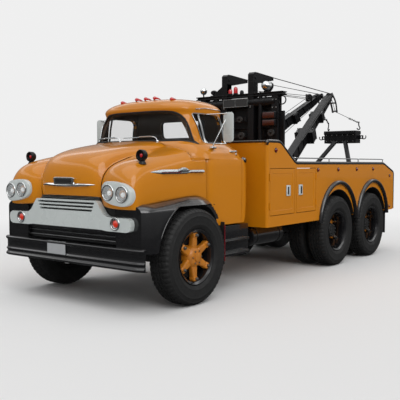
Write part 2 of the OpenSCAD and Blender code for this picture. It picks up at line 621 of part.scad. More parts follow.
leg_foot = [440, 5500, 1360];
leg_head = [105, 5960, 1960];
bar_y = 6050;
eye_x = 395;
module tow_bar() color("black") on_axle() {
  both_sides() {
    rod(leg_foot, leg_head, 32);
    shaft_x(leg_foot[0] - 50, leg_foot[0] + 50, leg_foot[1], leg_foot[2], 38);
    shaft_x(leg_foot[0] - 98, leg_foot[0] + 84, leg_foot[1], leg_foot[2], 20);
    // eye at each end of the bar
    difference() {
      slab(315, eye_x + 35, bar_y - 12, bar_y + 12, 2020, 2090);
      shaft_y(eye_x, bar_y - 13, bar_y + 13, 2055, 16);
    }
  }
  difference() {
    slab(-325, 325, bar_y - 110, bar_y + 110, 1945, 2140);
    slab(-326, 326, bar_y - 98, bar_y + 98, 1957, 2128);
  }
  slab(-325, 325, bar_y - 130, bar_y + 130, 2139, 2180);
  both_sides() slab(305, 324, bar_y - 99, bar_y + 99, 1956, 2129);
}

frame_rails();
crossmembers();
engine_block();
radiator();
front_axle();
leaf_springs();
left_knuckle();
right_knuckle();
left_front_tyre();
left_front_wheel();
right_front_tyre();
right_front_wheel();
drive_axles();
drive_shafts();
left_first_tyres();
left_first_wheels();
right_first_tyres();
right_first_wheels();
left_second_tyres();
left_second_wheels();
right_second_tyres();
right_second_wheels();
front_bumper();
front_apron();
grille_panel();
headlights();
fenders();
fender_extensions();
hood();
cab_shell();
cab_glass();
left_door();
left_door_glass();
left_mirror();
right_door();
right_door_glass();
right_mirror();
bench_seat();
dashboard();
steering_wheel();
marker_lamps();
side_tanks();
wrecker_body();
body_sides();
locker_boxes();
arch_flares();
deck_rails();
left_front_locker_door();
left_rear_locker_door();
right_front_locker_door();
right_rear_locker_door();
mast();
winches();
left_boom_swivel();
left_boom();
left_boom_cables();
right_boom_swivel();
right_boom();
right_boom_cables();
tow_bar();
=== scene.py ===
import math

import bmesh
import bpy
from mathutils import Matrix, Vector


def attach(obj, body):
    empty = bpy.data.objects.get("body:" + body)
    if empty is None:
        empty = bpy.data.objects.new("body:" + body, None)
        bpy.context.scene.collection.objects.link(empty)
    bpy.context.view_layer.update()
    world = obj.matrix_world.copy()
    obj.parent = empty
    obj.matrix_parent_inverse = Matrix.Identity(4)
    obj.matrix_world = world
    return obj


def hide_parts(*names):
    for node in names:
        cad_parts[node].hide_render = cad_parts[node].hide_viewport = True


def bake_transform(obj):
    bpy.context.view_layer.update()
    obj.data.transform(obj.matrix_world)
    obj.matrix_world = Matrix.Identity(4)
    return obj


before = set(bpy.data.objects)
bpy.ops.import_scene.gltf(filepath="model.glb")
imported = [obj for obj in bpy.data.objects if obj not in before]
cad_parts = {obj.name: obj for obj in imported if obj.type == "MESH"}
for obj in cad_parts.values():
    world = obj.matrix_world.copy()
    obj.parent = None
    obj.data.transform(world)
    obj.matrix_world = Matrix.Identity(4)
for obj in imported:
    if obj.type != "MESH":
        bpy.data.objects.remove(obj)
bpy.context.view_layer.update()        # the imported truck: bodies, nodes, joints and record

scene = bpy.context.scene

# All places are metres in the frame: nose towards -Y, driver's side +X, up +Z.
# Most of the truck was laid out from its front axle, so at() turns that into the frame.
leadOfAxle = 2.64
closedEnd = 0.0001     # radius where a turned profile closes on its axis


def at(x, y, z):
    return Vector((x, y - leadOfAxle, z))


# camera, floor and light
cameraSetup = {"place": (5.321, -5.359, 1.535), "turn": 37.67, "pitch": 3.23, "lens": 56.7}
lightSetup = {"pale": 0.865, "fill": 0.42, "sunFront": 1.05, "sunTop": 0.9, "floorHalf": 60.0,
              "ceiling": [(0.0, 0.08), (0.30, 0.20), (0.46, 0.34), (0.49, 1.0), (0.56, 1.0), (0.60, 0.38),
                          (1.0, 0.50)],
              "ceilingStrength": 1.7}


def makeCamera(setup):
    data = bpy.data.cameras.new("camera")
    data.lens = setup["lens"]
    data.sensor_width = 36
    camera = bpy.data.objects.new("camera", data)
    scene.collection.objects.link(camera)
    camera.location = at(*setup["place"])
    camera.rotation_euler = (math.radians(90 - setup["pitch"]), 0, math.radians(setup["turn"]))
    scene.camera = camera


def makeWorld(setup):
    # pale behind the truck, even fill on matt surfaces, and a bright ceiling in glossy ones
    world = bpy.data.worlds.new("studio")
    scene.world = world
    world.use_nodes = True
    nodes, links = world.node_tree.nodes, world.node_tree.links
    nodes.clear()
    out = nodes.new("ShaderNodeOutputWorld")
    seen = nodes.new("ShaderNodeBackground")
    seen.inputs["Color"].default_value = (setup["pale"], setup["pale"], setup["pale"], 1)
    fill = nodes.new("ShaderNodeBackground")
    fill.inputs["Color"].default_value = (1, 1, 1, 1)
    fill.inputs["Strength"].default_value = setup["fill"]
    mirror = nodes.new("ShaderNodeBackground")
    where = nodes.new("ShaderNodeTexCoord")
    split = nodes.new("ShaderNodeSeparateXYZ")
    ramp = nodes.new("ShaderNodeValToRGB")
    ramp.color_ramp.interpolation = "EASE"
    while len(ramp.color_ramp.elements) < len(setup["ceiling"]):
        ramp.color_ramp.elements.new(0.5)
    for element, (height, bright) in zip(ramp.color_ramp.elements, setup["ceiling"]):
        element.position = height
        element.color = (bright, bright, bright, 1)
    links.new(where.outputs["Generated"], split.inputs[0])
    links.new(split.outputs["Z"], ramp.inputs["Fac"])
    links.new(ramp.outputs["Color"], mirror.inputs["Color"])
    mirror.inputs["Strength"].default_value = setup["ceilingStrength"]
    path = nodes.new("ShaderNodeLightPath")
    clear = nodes.new("ShaderNodeMath")
    clear.operation = "MAXIMUM"
    links.new(path.outputs["Is Camera Ray"], clear.inputs[0])
    links.new(path.outputs["Is Transmission Ray"], clear.inputs[1])
    shiny = nodes.new("ShaderNodeMixShader")
    links.new(path.outputs["Is Glossy Ray"], shiny.inputs["Fac"])
    links.new(fill.outputs[0], shiny.inputs[1])
    links.new(mirror.outputs[0], shiny.inputs[2])
    mix = nodes.new("ShaderNodeMixShader")
    links.new(clear.outputs[0], mix.inputs["Fac"])
    links.new(shiny.outputs[0], mix.inputs[1])
    links.new(seen.outputs[0], mix.inputs[2])
    links.new(mix.outputs[0], out.inputs["Surface"])


def makeSun(name, strength, angle, tilt, turn):
    data = bpy.data.lights.new(name, "SUN")
    data.energy = strength
    data.angle = math.radians(angle)
    lamp = bpy.data.objects.new(name, data)
    scene.collection.objects.link(lamp)
    lamp.rotation_euler = (math.radians(tilt), 0, math.radians(turn))


def makeFloor(setup):
    bm = bmesh.new()
    bmesh.ops.create_grid(bm, x_segments=1, y_segments=1, size=setup["floorHalf"])
    mesh = bpy.data.meshes.new("floor")
    bm.to_mesh(mesh)
    bm.free()
    floor = bpy.data.objects.new("floor", mesh)
    scene.collection.objects.link(floor)
    mat = bpy.data.materials.new("palePaper")
    mat.use_nodes = True
    nodes, links = mat.node_tree.nodes, mat.node_tree.links
    paper = nodes["Principled BSDF"]
    paper.inputs["Base Color"].default_value = (0.84, 0.84, 0.84, 1)
    paper.inputs["Roughness"].default_value = 0.9
    paper.inputs["Specular IOR Level"].default_value = 0.1
    glow = nodes.new("ShaderNodeEmission")
    glow.inputs["Color"].default_value = (setup["pale"], setup["pale"], setup["pale"], 1)
    where = nodes.new("ShaderNodeTexCoord")
    away = nodes.new("ShaderNodeVectorMath")
    away.operation = "LENGTH"
    fade = nodes.new("ShaderNodeMapRange")     # paper near the truck, plain backdrop far away
    fade.interpolation_type = "SMOOTHSTEP"
    fade.inputs["From Min"].default_value = 5.0
    fade.inputs["From Max"].default_value = 11.0
    mix = nodes.new("ShaderNodeMixShader")
    links.new(where.outputs["Object"], away.inputs[0])
    links.new(away.outputs["Value"], fade.inputs["Value"])
    links.new(fade.outputs[0], mix.inputs["Fac"])
    links.new(paper.outputs[0], mix.inputs[1])
    links.new(glow.outputs[0], mix.inputs[2])
    # glossy surfaces see a darker floor, which keeps black paint black
    dim = nodes.new("ShaderNodeEmission")
    dim.inputs["Color"].default_value = (0.05, 0.05, 0.05, 1)
    path = nodes.new("ShaderNodeLightPath")
    both = nodes.new("ShaderNodeMixShader")
    links.new(path.outputs["Is Glossy Ray"], both.inputs["Fac"])
    links.new(mix.outputs[0], both.inputs[1])
    links.new(dim.outputs[0], both.inputs[2])
    links.new(both.outputs[0], nodes["Material Output"].inputs["Surface"])
    mesh.materials.append(mat)


makeCamera(cameraSetup)
makeWorld(lightSetup)
makeSun("frontSun", lightSetup["sunFront"], 40, 50, 60)
makeSun("topSun", lightSetup["sunTop"], 70, 8, 0)
makeFloor(lightSetup)
scene.view_settings.view_transform = "Standard"
print("camera, floor and light are in place")


# finishes
# tone and shade: the two colours that a finish wanders between; cloud: size of that pattern per metre
# rough: lowest and highest roughness; grain: size per metre and depth in metres of the bump
finishes = {
    "bodyPaint": {"tone": (0.61, 0.215, 0.005), "shade": (0.56, 0.195, 0.004), "cloud": 1.6,
                  "rough": (0.34, 0.42), "grain": (320, 0.00002), "coat": 0.75, "shine": 0.12},
    "blackPaint": {"tone": (0.010, 0.010, 0.011), "shade": (0.006, 0.006, 0.007), "cloud": 3,
                   "rough": (0.14, 0.26), "grain": (260, 0.00003), "coat": 0.7},
    "chassisBlack": {"tone": (0.014, 0.014, 0.015), "shade": (0.008, 0.008, 0.008), "cloud": 9,
                     "rough": (0.42, 0.62), "grain": (140, 0.0002)},
    "palePaint": {"tone": (0.60, 0.64, 0.63), "shade": (0.50, 0.54, 0.53), "cloud": 5,
                  "rough": (0.22, 0.32), "grain": (300, 0.00002), "coat": 0.6},
    "wheelPaint": {"tone": (0.62, 0.215, 0.012), "shade": (0.36, 0.12, 0.008), "cloud": 16,
                   "rough": (0.3, 0.46), "grain": (120, 0.0003)},
    "rubber": {"tone": (0.012, 0.012, 0.012), "shade": (0.007, 0.007, 0.007), "cloud": 12,
               "rough": (0.62, 0.8), "grain": (240, 0.0002)},
    "chrome": {"tone": (0.78, 0.80, 0.80), "shade": (0.70, 0.72, 0.73), "cloud": 20,
               "rough": (0.07, 0.14), "grain": (180, 0.00001), "metal": 1},
    "polishedTrim": {"tone": (0.60, 0.64, 0.66), "shade": (0.52, 0.56, 0.58), "cloud": 24,
                     "rough": (0.20, 0.30), "grain": (200, 0.00002), "metal": 1},
    "satinSteel": {"tone": (0.52, 0.53, 0.53), "shade": (0.36, 0.37, 0.37), "cloud": 30,
                   "rough": (0.28, 0.42), "grain": (200, 0.00005), "metal": 1},
    "wireRope": {"tone": (0.10, 0.10, 0.10), "shade": (0.03, 0.03, 0.03), "cloud": 220,
                 "rough": (0.45, 0.6), "grain": (420, 0.0006), "metal": 0.6},
    "castIron": {"tone": (0.035, 0.033, 0.031), "shade": (0.016, 0.015, 0.015), "cloud": 22,
                 "rough": (0.6, 0.8), "grain": (160, 0.0006)},
    "mattBlack": {"tone": (0.012, 0.012, 0.012), "shade": (0.007, 0.007, 0.007), "cloud": 15,
                  "rough": (0.55, 0.75), "grain": (300, 0.0002)},
    "leather": {"tone": (0.060, 0.038, 0.024), "shade": (0.034, 0.021, 0.014), "cloud": 14,
                "rough": (0.42, 0.6), "grain": (170, 0.0007)},
    # painted shade: the cab's inside and dash are body paint, drawn dark brown as if in shade
    "cabTrim": {"tone": (0.085, 0.045, 0.022), "shade": (0.055, 0.030, 0.015), "cloud": 10,
                "rough": (0.5, 0.7), "grain": (260, 0.0003)},
    "lensRed": {"tone": (0.55, 0.008, 0.012), "shade": (0.40, 0.005, 0.010), "cloud": 40,
                "rough": (0.08, 0.14), "grain": (150, 0.0006), "coat": 1, "glow": 0.12},
    "lensDark": {"tone": (0.17, 0.008, 0.014), "shade": (0.11, 0.006, 0.010), "cloud": 40,
                 "rough": (0.12, 0.2), "grain": (150, 0.0006), "coat": 1},
    "lensAmber": {"tone": (0.085, 0.016, 0.007), "shade": (0.04, 0.008, 0.005), "cloud": 30,
                  "rough": (0.15, 0.3), "grain": (150, 0.0006), "coat": 0.5},
    "lensOrange": {"tone": (0.62, 0.035, 0.012), "shade": (0.45, 0.018, 0.008), "cloud": 60,
                   "rough": (0.1, 0.16), "grain": (150, 0.0008), "coat": 1, "glow": 0.2},
    "lampWhite": {"tone": (0.85, 0.87, 0.88), "shade": (0.7, 0.72, 0.74), "cloud": 30,
                  "rough": (0.1, 0.2), "grain": (90, 0.0002), "coat": 1, "glow": 0.35},
    "lampBowl": {"tone": (0.30, 0.31, 0.32), "shade": (0.12, 0.125, 0.13), "cloud": 26,
                 "rough": (0.08, 0.2), "grain": (70, 0.0006), "metal": 1},
    "plateBlank": {"tone": (0.42, 0.43, 0.44), "shade": (0.34, 0.35, 0.36), "cloud": 8,
                   "rough": (0.3, 0.4), "grain": (200, 0.0001)},
    "craneBlack": {"tone": (0.009, 0.009, 0.010), "shade": (0.005, 0.005, 0.006), "cloud": 4,
                   "rough": (0.30, 0.46), "grain": (200, 0.0001), "shine": 0.3},
    "satinBlack": {"tone": (0.045, 0.047, 0.048), "shade": (0.03, 0.031, 0.032), "cloud": 8,
                   "rough": (0.30, 0.42), "grain": (160, 0.0001)},
    "deckSteel": {"tone": (0.030, 0.030, 0.031), "shade": (0.015, 0.015, 0.016), "cloud": 6,
                  "rough": (0.4, 0.65), "grain": (90, 0.0008)},
}


def makeFinish(name, look):
    mat = bpy.data.materials.new(name)
    mat.use_nodes = True
    nodes, links = mat.node_tree.nodes, mat.node_tree.links
    shader = nodes["Principled BSDF"]
    where = nodes.new("ShaderNodeTexCoord")
    cloud = nodes.new("ShaderNodeTexNoise")
    cloud.inputs["Scale"].default_value = look["cloud"]
    cloud.inputs["Detail"].default_value = 4
    links.new(where.outputs["Object"], cloud.inputs["Vector"])
    colour = nodes.new("ShaderNodeMix")
    colour.data_type = "RGBA"
    colour.inputs[6].default_value = (*look["tone"], 1)
    colour.inputs[7].default_value = (*look["shade"], 1)
    links.new(cloud.outputs["Fac"], colour.inputs[0])
    links.new(colour.outputs[2], shader.inputs["Base Color"])
    rough = nodes.new("ShaderNodeMapRange")
    rough.inputs["From Min"].default_value = 0.3
    rough.inputs["From Max"].default_value = 0.7
    rough.inputs["To Min"].default_value = look["rough"][0]
    rough.inputs["To Max"].default_value = look["rough"][1]
    links.new(cloud.outputs["Fac"], rough.inputs["Value"])
    links.new(rough.outputs[0], shader.inputs["Roughness"])
    grain = nodes.new("ShaderNodeTexNoise")
    grain.inputs["Scale"].default_value = look["grain"][0]
    grain.inputs["Detail"].default_value = 2
    links.new(where.outputs["Object"], grain.inputs["Vector"])
    bump = nodes.new("ShaderNodeBump")
    bump.inputs["Distance"].default_value = look["grain"][1]
    bump.inputs["Strength"].default_value = 0.6
    links.new(grain.outputs["Fac"], bump.inputs["Height"])
    links.new(bump.outputs["Normal"], shader.inputs["Normal"])
    shader.inputs["Metallic"].default_value = look.get("metal", 0)
    shader.inputs["Specular IOR Level"].default_value = look.get("shine", 0.5)
    shader.inputs["Coat Weight"].default_value = look.get("coat", 0)
    shader.inputs["Coat Roughness"].default_value = 0.02
    if "glow" in look:
        shader.inputs["Emission Color"].default_value = (*look["tone"], 1)
        shader.inputs["Emission Strength"].default_value = look["glow"]
    return mat


def makeGlass(name, tint, clearness):
    mat = bpy.data.materials.new(name)
    mat.use_nodes = True
    nodes, links = mat.node_tree.nodes, mat.node_tree.links
    shader = nodes["Principled BSDF"]
    shader.inputs["Base Color"].default_value = (*tint, 1)
    shader.inputs["Roughness"].default_value = 0.02
    shader.inputs["IOR"].default_value = 1.45
    shader.inputs["Alpha"].default_value = clearness
    where = nodes.new("ShaderNodeTexCoord")
    wave = nodes.new("ShaderNodeTexNoise")
    wave.inputs["Scale"].default_value = 6
    links.new(where.outputs["Object"], wave.inputs["Vector"])
    bump = nodes.new("ShaderNodeBump")
    bump.inputs["Distance"].default_value = 0.0002
    links.new(wave.outputs["Fac"], bump.inputs["Height"])
    links.new(bump.outputs["Normal"], shader.inputs["Normal"])
    return mat


finish = {name: makeFinish(name, look) for name, look in finishes.items()}
finish["glass"] = makeGlass("glass", (0.03, 0.035, 0.035), 0.07)
finish["lampGlass"] = makeGlass("lampGlass", (0.75, 0.78, 0.78), 0.22)
print("finishes are ready")


# the record's slot that each finish usually belongs to
usualSlot = {"blackPaint": "black_paint", "bodyPaint": "body_paint", "castIron": "black_paint", "chrome": "chrome",
             "craneBlack": "black_paint", "glass": "glass", "lensDark": "lamp_red", "lensRed": "lamp_red",
             "mattBlack": "matte_black", "plateBlank": "white_paint", "satinSteel": "chrome", "wireRope": "wire_rope"}


def addPiece(name, bm, look, body="truck", slot=None, replaces=(), crease=35, bevel=0.0, segments=2, normals=True):
    if normals:
        bmesh.ops.recalc_face_normals(bm, faces=bm.faces)
    mesh = bpy.data.meshes.new(name)
    bm.to_mesh(mesh)
    bm.free()
    piece = bpy.data.objects.new(name, mesh)
    scene.collection.objects.link(piece)
    for each in (look if isinstance(look, (list, tuple)) else [look]):
        mesh.materials.append(finish[each])
    for face in mesh.polygons:
        face.use_smooth = True
    mesh.set_sharp_from_angle(angle=math.radians(crease))
    if bevel:
        edge = piece.modifiers.new("edge", "BEVEL")
        edge.width = bevel
        edge.segments = segments
        edge.limit_method = "ANGLE"
        edge.angle_limit = math.radians(40)
        edge.harden_normals = True
    if body:
        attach(piece, body)
    slot or usualSlot[look]
    if replaces:
        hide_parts(*replaces)
    return piece


def block(bm, low, high):
    size = [high[k] - low[k] for k in range(3)]
    middle = [(high[k] + low[k]) / 2 for k in range(3)]
    return bmesh.ops.create_cube(bm, size=1, matrix=Matrix.Translation(middle) @ Matrix.Diagonal((*size, 1)))["verts"]


def turnTo(direction):
    return Vector(direction).to_track_quat("Z", "Y").to_matrix().to_4x4()


def tube(bm, start, end, radius, endRadius=None, steps=20):
    start, end = Vector(start), Vector(end)
    matrix = Matrix.Translation((start + end) / 2) @ turnTo(end - start)
    return bmesh.ops.create_cone(bm, cap_ends=True, segments=steps, radius1=radius,
                                 radius2=radius if endRadius is None else endRadius,
                                 depth=(end - start).length, matrix=matrix)["verts"]


def ball(bm, centre, radius, stretch=(1, 1, 1), steps=20):
    matrix = Matrix.Translation(centre) @ Matrix.Diagonal((*stretch, 1))
    return bmesh.ops.create_uvsphere(bm, u_segments=steps, v_segments=steps // 2 + 2, radius=radius,
                                     matrix=matrix)["verts"]


def plate(bm, outline, thickness, matrix):
    # an outline in its own xy plane, made a plate along its z and then put in place
    verts = [bm.verts.new((x, y, 0)) for x, y in outline]
    face = bm.faces.new(verts)
    grown = bmesh.ops.extrude_face_region(bm, geom=[face])["geom"]
    top = [v for v in grown if isinstance(v, bmesh.types.BMVert)]
    bmesh.ops.translate(bm, vec=(0, 0, thickness), verts=top)
    bmesh.ops.transform(bm, matrix=matrix, verts=verts + top)
    return verts + top


def lathe(bm, profile, centre, axis, steps=64):
    # a profile of (place along the axis, radius), spun round the axis into a closed ring
    before = set(bm.verts)
    verts = [bm.verts.new((radius, 0, along)) for along, radius in profile]
    edges = [bm.edges.new(pair) for pair in zip(verts, verts[1:] + verts[:1])]
    bmesh.ops.spin(bm, geom=verts + edges, angle=2 * math.pi, steps=steps, axis=(0, 0, 1), cent=(0, 0, 0),
                   use_merge=True)
    made = [v for v in bm.verts if v not in before]
    bmesh.ops.transform(bm, matrix=Matrix.Translation(centre) @ turnTo(axis), verts=made)
    return made


def sheetOf(bm, columns, rows, place):
    # a grid whose corners run from 0 to 1 both ways, moved to place(u, v)
    made = bmesh.ops.create_grid(bm, x_segments=columns, y_segments=rows, size=0.5)["verts"]
    for v in made:
        v.co = place(v.co.x + 0.5, v.co.y + 0.5)
    return made


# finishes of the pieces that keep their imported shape
keptPieces = {
    "chassisBlack": ["frame_rails", "crossmembers", "front_axle", "leaf_springs", "left_knuckle", "right_knuckle",
                     "drive_axles",
                     "drive_shafts"],
    "castIron": ["engine_block"],
    "mattBlack": ["radiator", "steering_wheel"],
    "rubber": [side + "_" + place for side in ("left", "right")
               for place in ("front_tyre", "first_tyres", "second_tyres")],
    "wheelPaint": [side + "_" + place for side in ("left", "right")
                   for place in ("front_wheel", "first_wheels", "second_wheels")],
    "blackPaint": ["front_bumper", "front_apron", "fender_extensions", "arch_flares", "mast", "winches",
                   "left_boom_swivel", "right_boom_swivel", "left_boom", "right_boom", "tow_bar", "side_tanks"],
    "palePaint": ["grille_panel", "headlights"],
    "bodyPaint": ["hood", "fenders", "cab_shell", "left_door", "right_door", "dashboard", "wrecker_body",
                  "body_sides", "locker_boxes",
                  "left_front_locker_door", "left_rear_locker_door", "right_front_locker_door",
                  "right_rear_locker_door"],
    "glass": ["cab_glass", "left_door_glass", "right_door_glass"],
    "chrome": ["left_mirror", "right_mirror", "deck_rails"],
    "lensRed": ["marker_lamps"],
    "leather": ["bench_seat"],
    "wireRope": ["left_boom_cables", "right_boom_cables"],
}
for look, nodeNames in keptPieces.items():
    for nodeName in nodeNames:
        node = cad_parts[nodeName]
        if not node.material_slots:
            node.data.materials.append(finish[look])
        for each in node.material_slots:
            each.material = finish[look]
print("packed pieces have their finishes")


# curves and forms
def between(rows, s):
    # a smooth curve that keeps to its knots; the first column is the station
    last = len(rows) - 1
    k = 0
    while k < last - 1 and s > rows[k + 1][0]:
        k += 1
    span = rows[k + 1][0] - rows[k][0]
    t = min(max((s - rows[k][0]) / span, 0), 1)
    values = []
    for c in range(1, len(rows[0])):
        rise = [(rows[i + 1][c] - rows[i][c]) / (rows[i + 1][0] - rows[i][0]) for i in range(last)]
        slopes = []
        for i in (k, k + 1):
            before, after = rise[max(i - 1, 0)], rise[min(i, last - 1)]
            slopes.append(0 if before * after <= 0 else 2 * before * after / (before + after))
        values.append(rows[k][c] * (2 * t ** 3 - 3 * t ** 2 + 1) + rows[k + 1][c] * (3 * t ** 2 - 2 * t ** 3)
                      + span * (slopes[0] * (t ** 3 - 2 * t ** 2 + t) + slopes[1] * (t ** 3 - t ** 2)))
    return values


def ringPoint(turn, halfA, halfB, square):
    c, s = math.cos(turn), math.sin(turn)
    reach = (abs(c) ** square + abs(s) ** square) ** (-1 / square)
    return halfA * c * reach, halfB * s * reach


def closedForm(steps, stations, ringAt):
    # a closed solid through smooth rings; ringAt(station, turn) gives a point
    bm = bmesh.new()
    last = len(stations) - 1

    def place(u, v):
        return ringAt(stations[round(v * last)], 2 * math.pi * u)
    sheetOf(bm, steps, last, place)
    bmesh.ops.remove_doubles(bm, verts=bm.verts, dist=0.00001)
    bmesh.ops.holes_fill(bm, edges=bm.edges, sides=0)
    bmesh.ops.recalc_face_normals(bm, faces=bm.faces)
    return bm


def spaced(knots, gap):
    # stations at the knots and evenly between them
    made = [knots[0]]
    for low, high in zip(knots, knots[1:]):
        count = max(1, math.ceil((high - low) / gap))
        made += [low + (high - low) * k / count for k in range(1, count + 1)]
    return made


def roundedCorners(points, cut, steps=6):
    made = []
    count = len(points)
    for k, here in enumerate(points):
        here, before, after = Vector(here), Vector(points[k - 1]), Vector(points[(k + 1) % count])
        c = cut[k] if isinstance(cut, (list, tuple)) else cut
        if c == 0:
            made.append(tuple(here))
            continue
        start = here + (before - here).normalized() * min(c, (before - here).length * 0.49)
        end = here + (after - here).normalized() * min(c, (after - here).length * 0.49)
        for step in range(steps + 1):
            t = step / steps
            made.append(tuple(start * (1 - t) ** 2 + here * 2 * t * (1 - t) + end * t ** 2))
    return made


# matrices that stand an outline up: (y, z) outlines grow along +X, (x, z) outlines along +Y
def sidewards(x):
    return Matrix(((0, 0, 1, x), (1, 0, 0, -leadOfAxle), (0, 1, 0, 0), (0, 0, 0, 1)))


def crosswards(y):
    return Matrix(((1, 0, 0, 0), (0, 0, 1, y - leadOfAxle), (0, 1, 0, 0), (0, 0, 0, 1)))


def sidePrism(outline, low, high):
    bm = bmesh.new()
    plate(bm, outline, high - low, sidewards(low))
    bmesh.ops.recalc_face_normals(bm, faces=bm.faces)
    return bm


def crossPrism(outline, low, high):
    bm = bmesh.new()
    plate(bm, outline, high - low, crosswards(low))
    bmesh.ops.recalc_face_normals(bm, faces=bm.faces)
    return bm


def boxOf(low, high):
    bm = bmesh.new()
    block(bm, at(*low), at(*high))
    return bm


carving = {"tries": 5, "nudge": 0.00003, "nudgeAlong": (0.9, 0.7, 0.5), "tornAllowed": 8}


def openEdges(mesh):
    used = [0] * len(mesh.edges)
    for loop in mesh.loops:
        used[loop.edge_index] += 1
    return sum(1 for count in used if count != 2)


def carve(bm, steps):
    # steps are pairs of what to do and the solid to do it with, given as bmeshes
    # a cut that leaves torn edges is done again with the cutter nudged a little, and the best one is kept
    mesh = bpy.data.meshes.new("carving")
    bm.to_mesh(mesh)
    bm.free()
    work = bpy.data.objects.new("carving", mesh)
    scene.collection.objects.link(work)
    for how, other in steps:
        otherMesh = bpy.data.meshes.new("cutter")
        other.to_mesh(otherMesh)
        other.free()
        cutter = bpy.data.objects.new("cutter", otherMesh)
        scene.collection.objects.link(cutter)
        cut = work.modifiers.new("cut", "BOOLEAN")
        cut.operation = how
        cut.solver = "EXACT"
        cut.object = cutter
        allowed = openEdges(work.data) + openEdges(otherMesh)
        best = None
        for attempt in range(carving["tries"]):
            cutter.location = Vector(carving["nudgeAlong"]) * carving["nudge"] * attempt
            bpy.context.view_layer.update()
            result = bpy.data.meshes.new_from_object(work.evaluated_get(bpy.context.evaluated_depsgraph_get()))
            torn = openEdges(result) if len(result.polygons) else math.inf
            if best is None or torn < best[0]:
                best = (torn, result)
            if torn <= allowed + carving["tornAllowed"]:
                break
        work.modifiers.clear()
        work.data = best[1]
        bpy.data.objects.remove(cutter)
    carved = bmesh.new()
    carved.from_mesh(work.data)
    bpy.data.objects.remove(work)
    return carved


def mirrored(bm):
    other = bm.copy()
    bmesh.ops.scale(other, vec=(-1, 1, 1), verts=other.verts)
    bmesh.ops.reverse_faces(other, faces=other.faces)
    return other


# cab, hood and fenders
# each row is a level of the cab: height, half width, front, rear and squareness
cab = {
    "outside": [(0.82, 0.984, 0.362, 1.240, 12), (0.90, 0.994, 0.362, 1.250, 12), (1.20, 1.003, 0.362, 1.258, 11),
                (1.50, 1.003, 0.362, 1.258, 10), (1.598, 0.990, 0.362, 1.252, 9), (1.600, 0.989, 0.141, 1.252, 7),
                (1.68, 0.955, 0.143, 1.240, 5.5), (1.74, 0.905, 0.150, 1.225, 4.8), (1.78, 0.850, 0.165, 1.210, 4.4),
                (1.80, 0.815, 0.190, 1.215, 4.2), (2.00, 0.765, 0.255, 1.195, 4.1), (2.14, 0.730, 0.295, 1.190, 4),
                (2.185, 0.735, 0.275, 1.205, 4), (2.220, 0.725, 0.280, 1.200, 3.8), (2.262, 0.680, 0.310, 1.160, 3.4),
                (2.30, 0.590, 0.370, 1.085, 3), (2.322, 0.460, 0.455, 0.985, 2.8), (2.331, 0.300, 0.555, 0.865, 2.6),
                (2.3325, 0.10, 0.66, 0.74, 2.4)],
    "inside": [(0.93, 0.992, 0.365, 1.251, 10), (1.50, 1.003, 0.365, 1.257, 9), (1.70, 0.945, 0.365, 1.240, 6),
               (1.78, 0.845, 0.365, 1.220, 5), (1.806, 0.817, 0.205, 1.216, 4.2), (2.00, 0.767, 0.255, 1.196, 4.1),
               (2.14, 0.733, 0.295, 1.190, 4), (2.215, 0.705, 0.315, 1.180, 3.8), (2.27, 0.605, 0.385, 1.105, 3)],
    "wall": 0.045, "steps": 288, "levelGap": 0.022,
    "doorOutline": [(0.362, 1.440), (0.362, 1.735), (0.440, 1.790), (0.395, 2.160), (1.110, 2.160), (1.110, 0.850),
                    (0.655, 0.850), (0.655, 1.440)],
    "doorCorners": [0.012, 0.02, 0.03, 0.10, 0, 0, 0.03, 0.05],
    "doorReach": [(0.91, 0.80), (0.91, 1.69), (0.83, 1.76), (0.66, 1.80), (0.60, 2.25), (1.10, 2.25), (1.10, 0.80)],
    "hinge": (1.012, 0.356), "seam": 0.007,
    "sideGlass": [(0.535, 1.782), (0.462, 2.134), (0.985, 2.134), (1.015, 1.782)],
    "sideGlassCorners": [0.05, 0.03, 0.11, 0.06],
    "windshield": [(-0.05, 1.808), (0.290, 1.808), (0.402, 1.766), (0.372, 2.172), (-0.05, 2.172)],
    "windshieldCorners": [0, 0.05, 0.03, 0.11, 0],
    "rearGlass": (0.38, 0.115, 1.995),
}


def cabForm(rows, shrink):
    def ringAt(z, turn):
        half, front, rear, square = between(rows, z)
        x, y = ringPoint(turn, half - shrink, (rear - front) / 2 - shrink, square)
        return at(x, y + (front + rear) / 2, z)
    return closedForm(cab["steps"], spaced([row[0] for row in rows], cab["levelGap"]), ringAt)


def insetOutline(outline, gap):
    # the outline, drawn smaller by the gap all round
    if not gap:
        return outline
    bm = bmesh.new()
    face = bm.faces.new([bm.verts.new((x, y, 0)) for x, y in outline])
    bmesh.ops.inset_region(bm, faces=[face], thickness=gap, use_even_offset=True)
    inner = [(v.co.x, v.co.y) for v in face.verts]
    bm.free()
    return inner


def doorBlock(gap):
    # the rear edge is turned about the hinge line, so the gap stays as the door swings
    reach = [(0.80, 0.724), (1.60, 0.724), (1.79, 0.740), (2.20, 0.740)]
    block = sidePrism(insetOutline(roundedCorners(cab["doorOutline"], cab["doorCorners"]), gap), 0.5, 1.1)
    turned = bmesh.new()
    profile = [(0.80, closedEnd)] + [(z, r - gap) for z, r in reach] + [(2.20, closedEnd)]
    lathe(turned, profile, at(*cab["hinge"], 0), (0, 0, 1), steps=160)
    bmesh.ops.recalc_face_normals(turned, faces=turned.faces)
    return carve(block, [("INTERSECT", turned), ("INTERSECT", crossPrism(cab["doorReach"], 0, 1.3))])


def twice(makeOne):
    # the same solid on both sides of the truck
    bm = makeOne()
    other = mirrored(bm)
    mesh = bpy.data.meshes.new("half")
    other.to_mesh(mesh)
    other.free()
    bm.from_mesh(mesh)
    bpy.data.meshes.remove(mesh)
    return bm


def windshieldPrism():
    return sidePrism(roundedCorners(cab["windshield"], cab["windshieldCorners"]), -1.1, 1.1)


def sideGlassPrism():
    return sidePrism(roundedCorners(cab["sideGlass"], cab["sideGlassCorners"]), 0.5, 1.1)


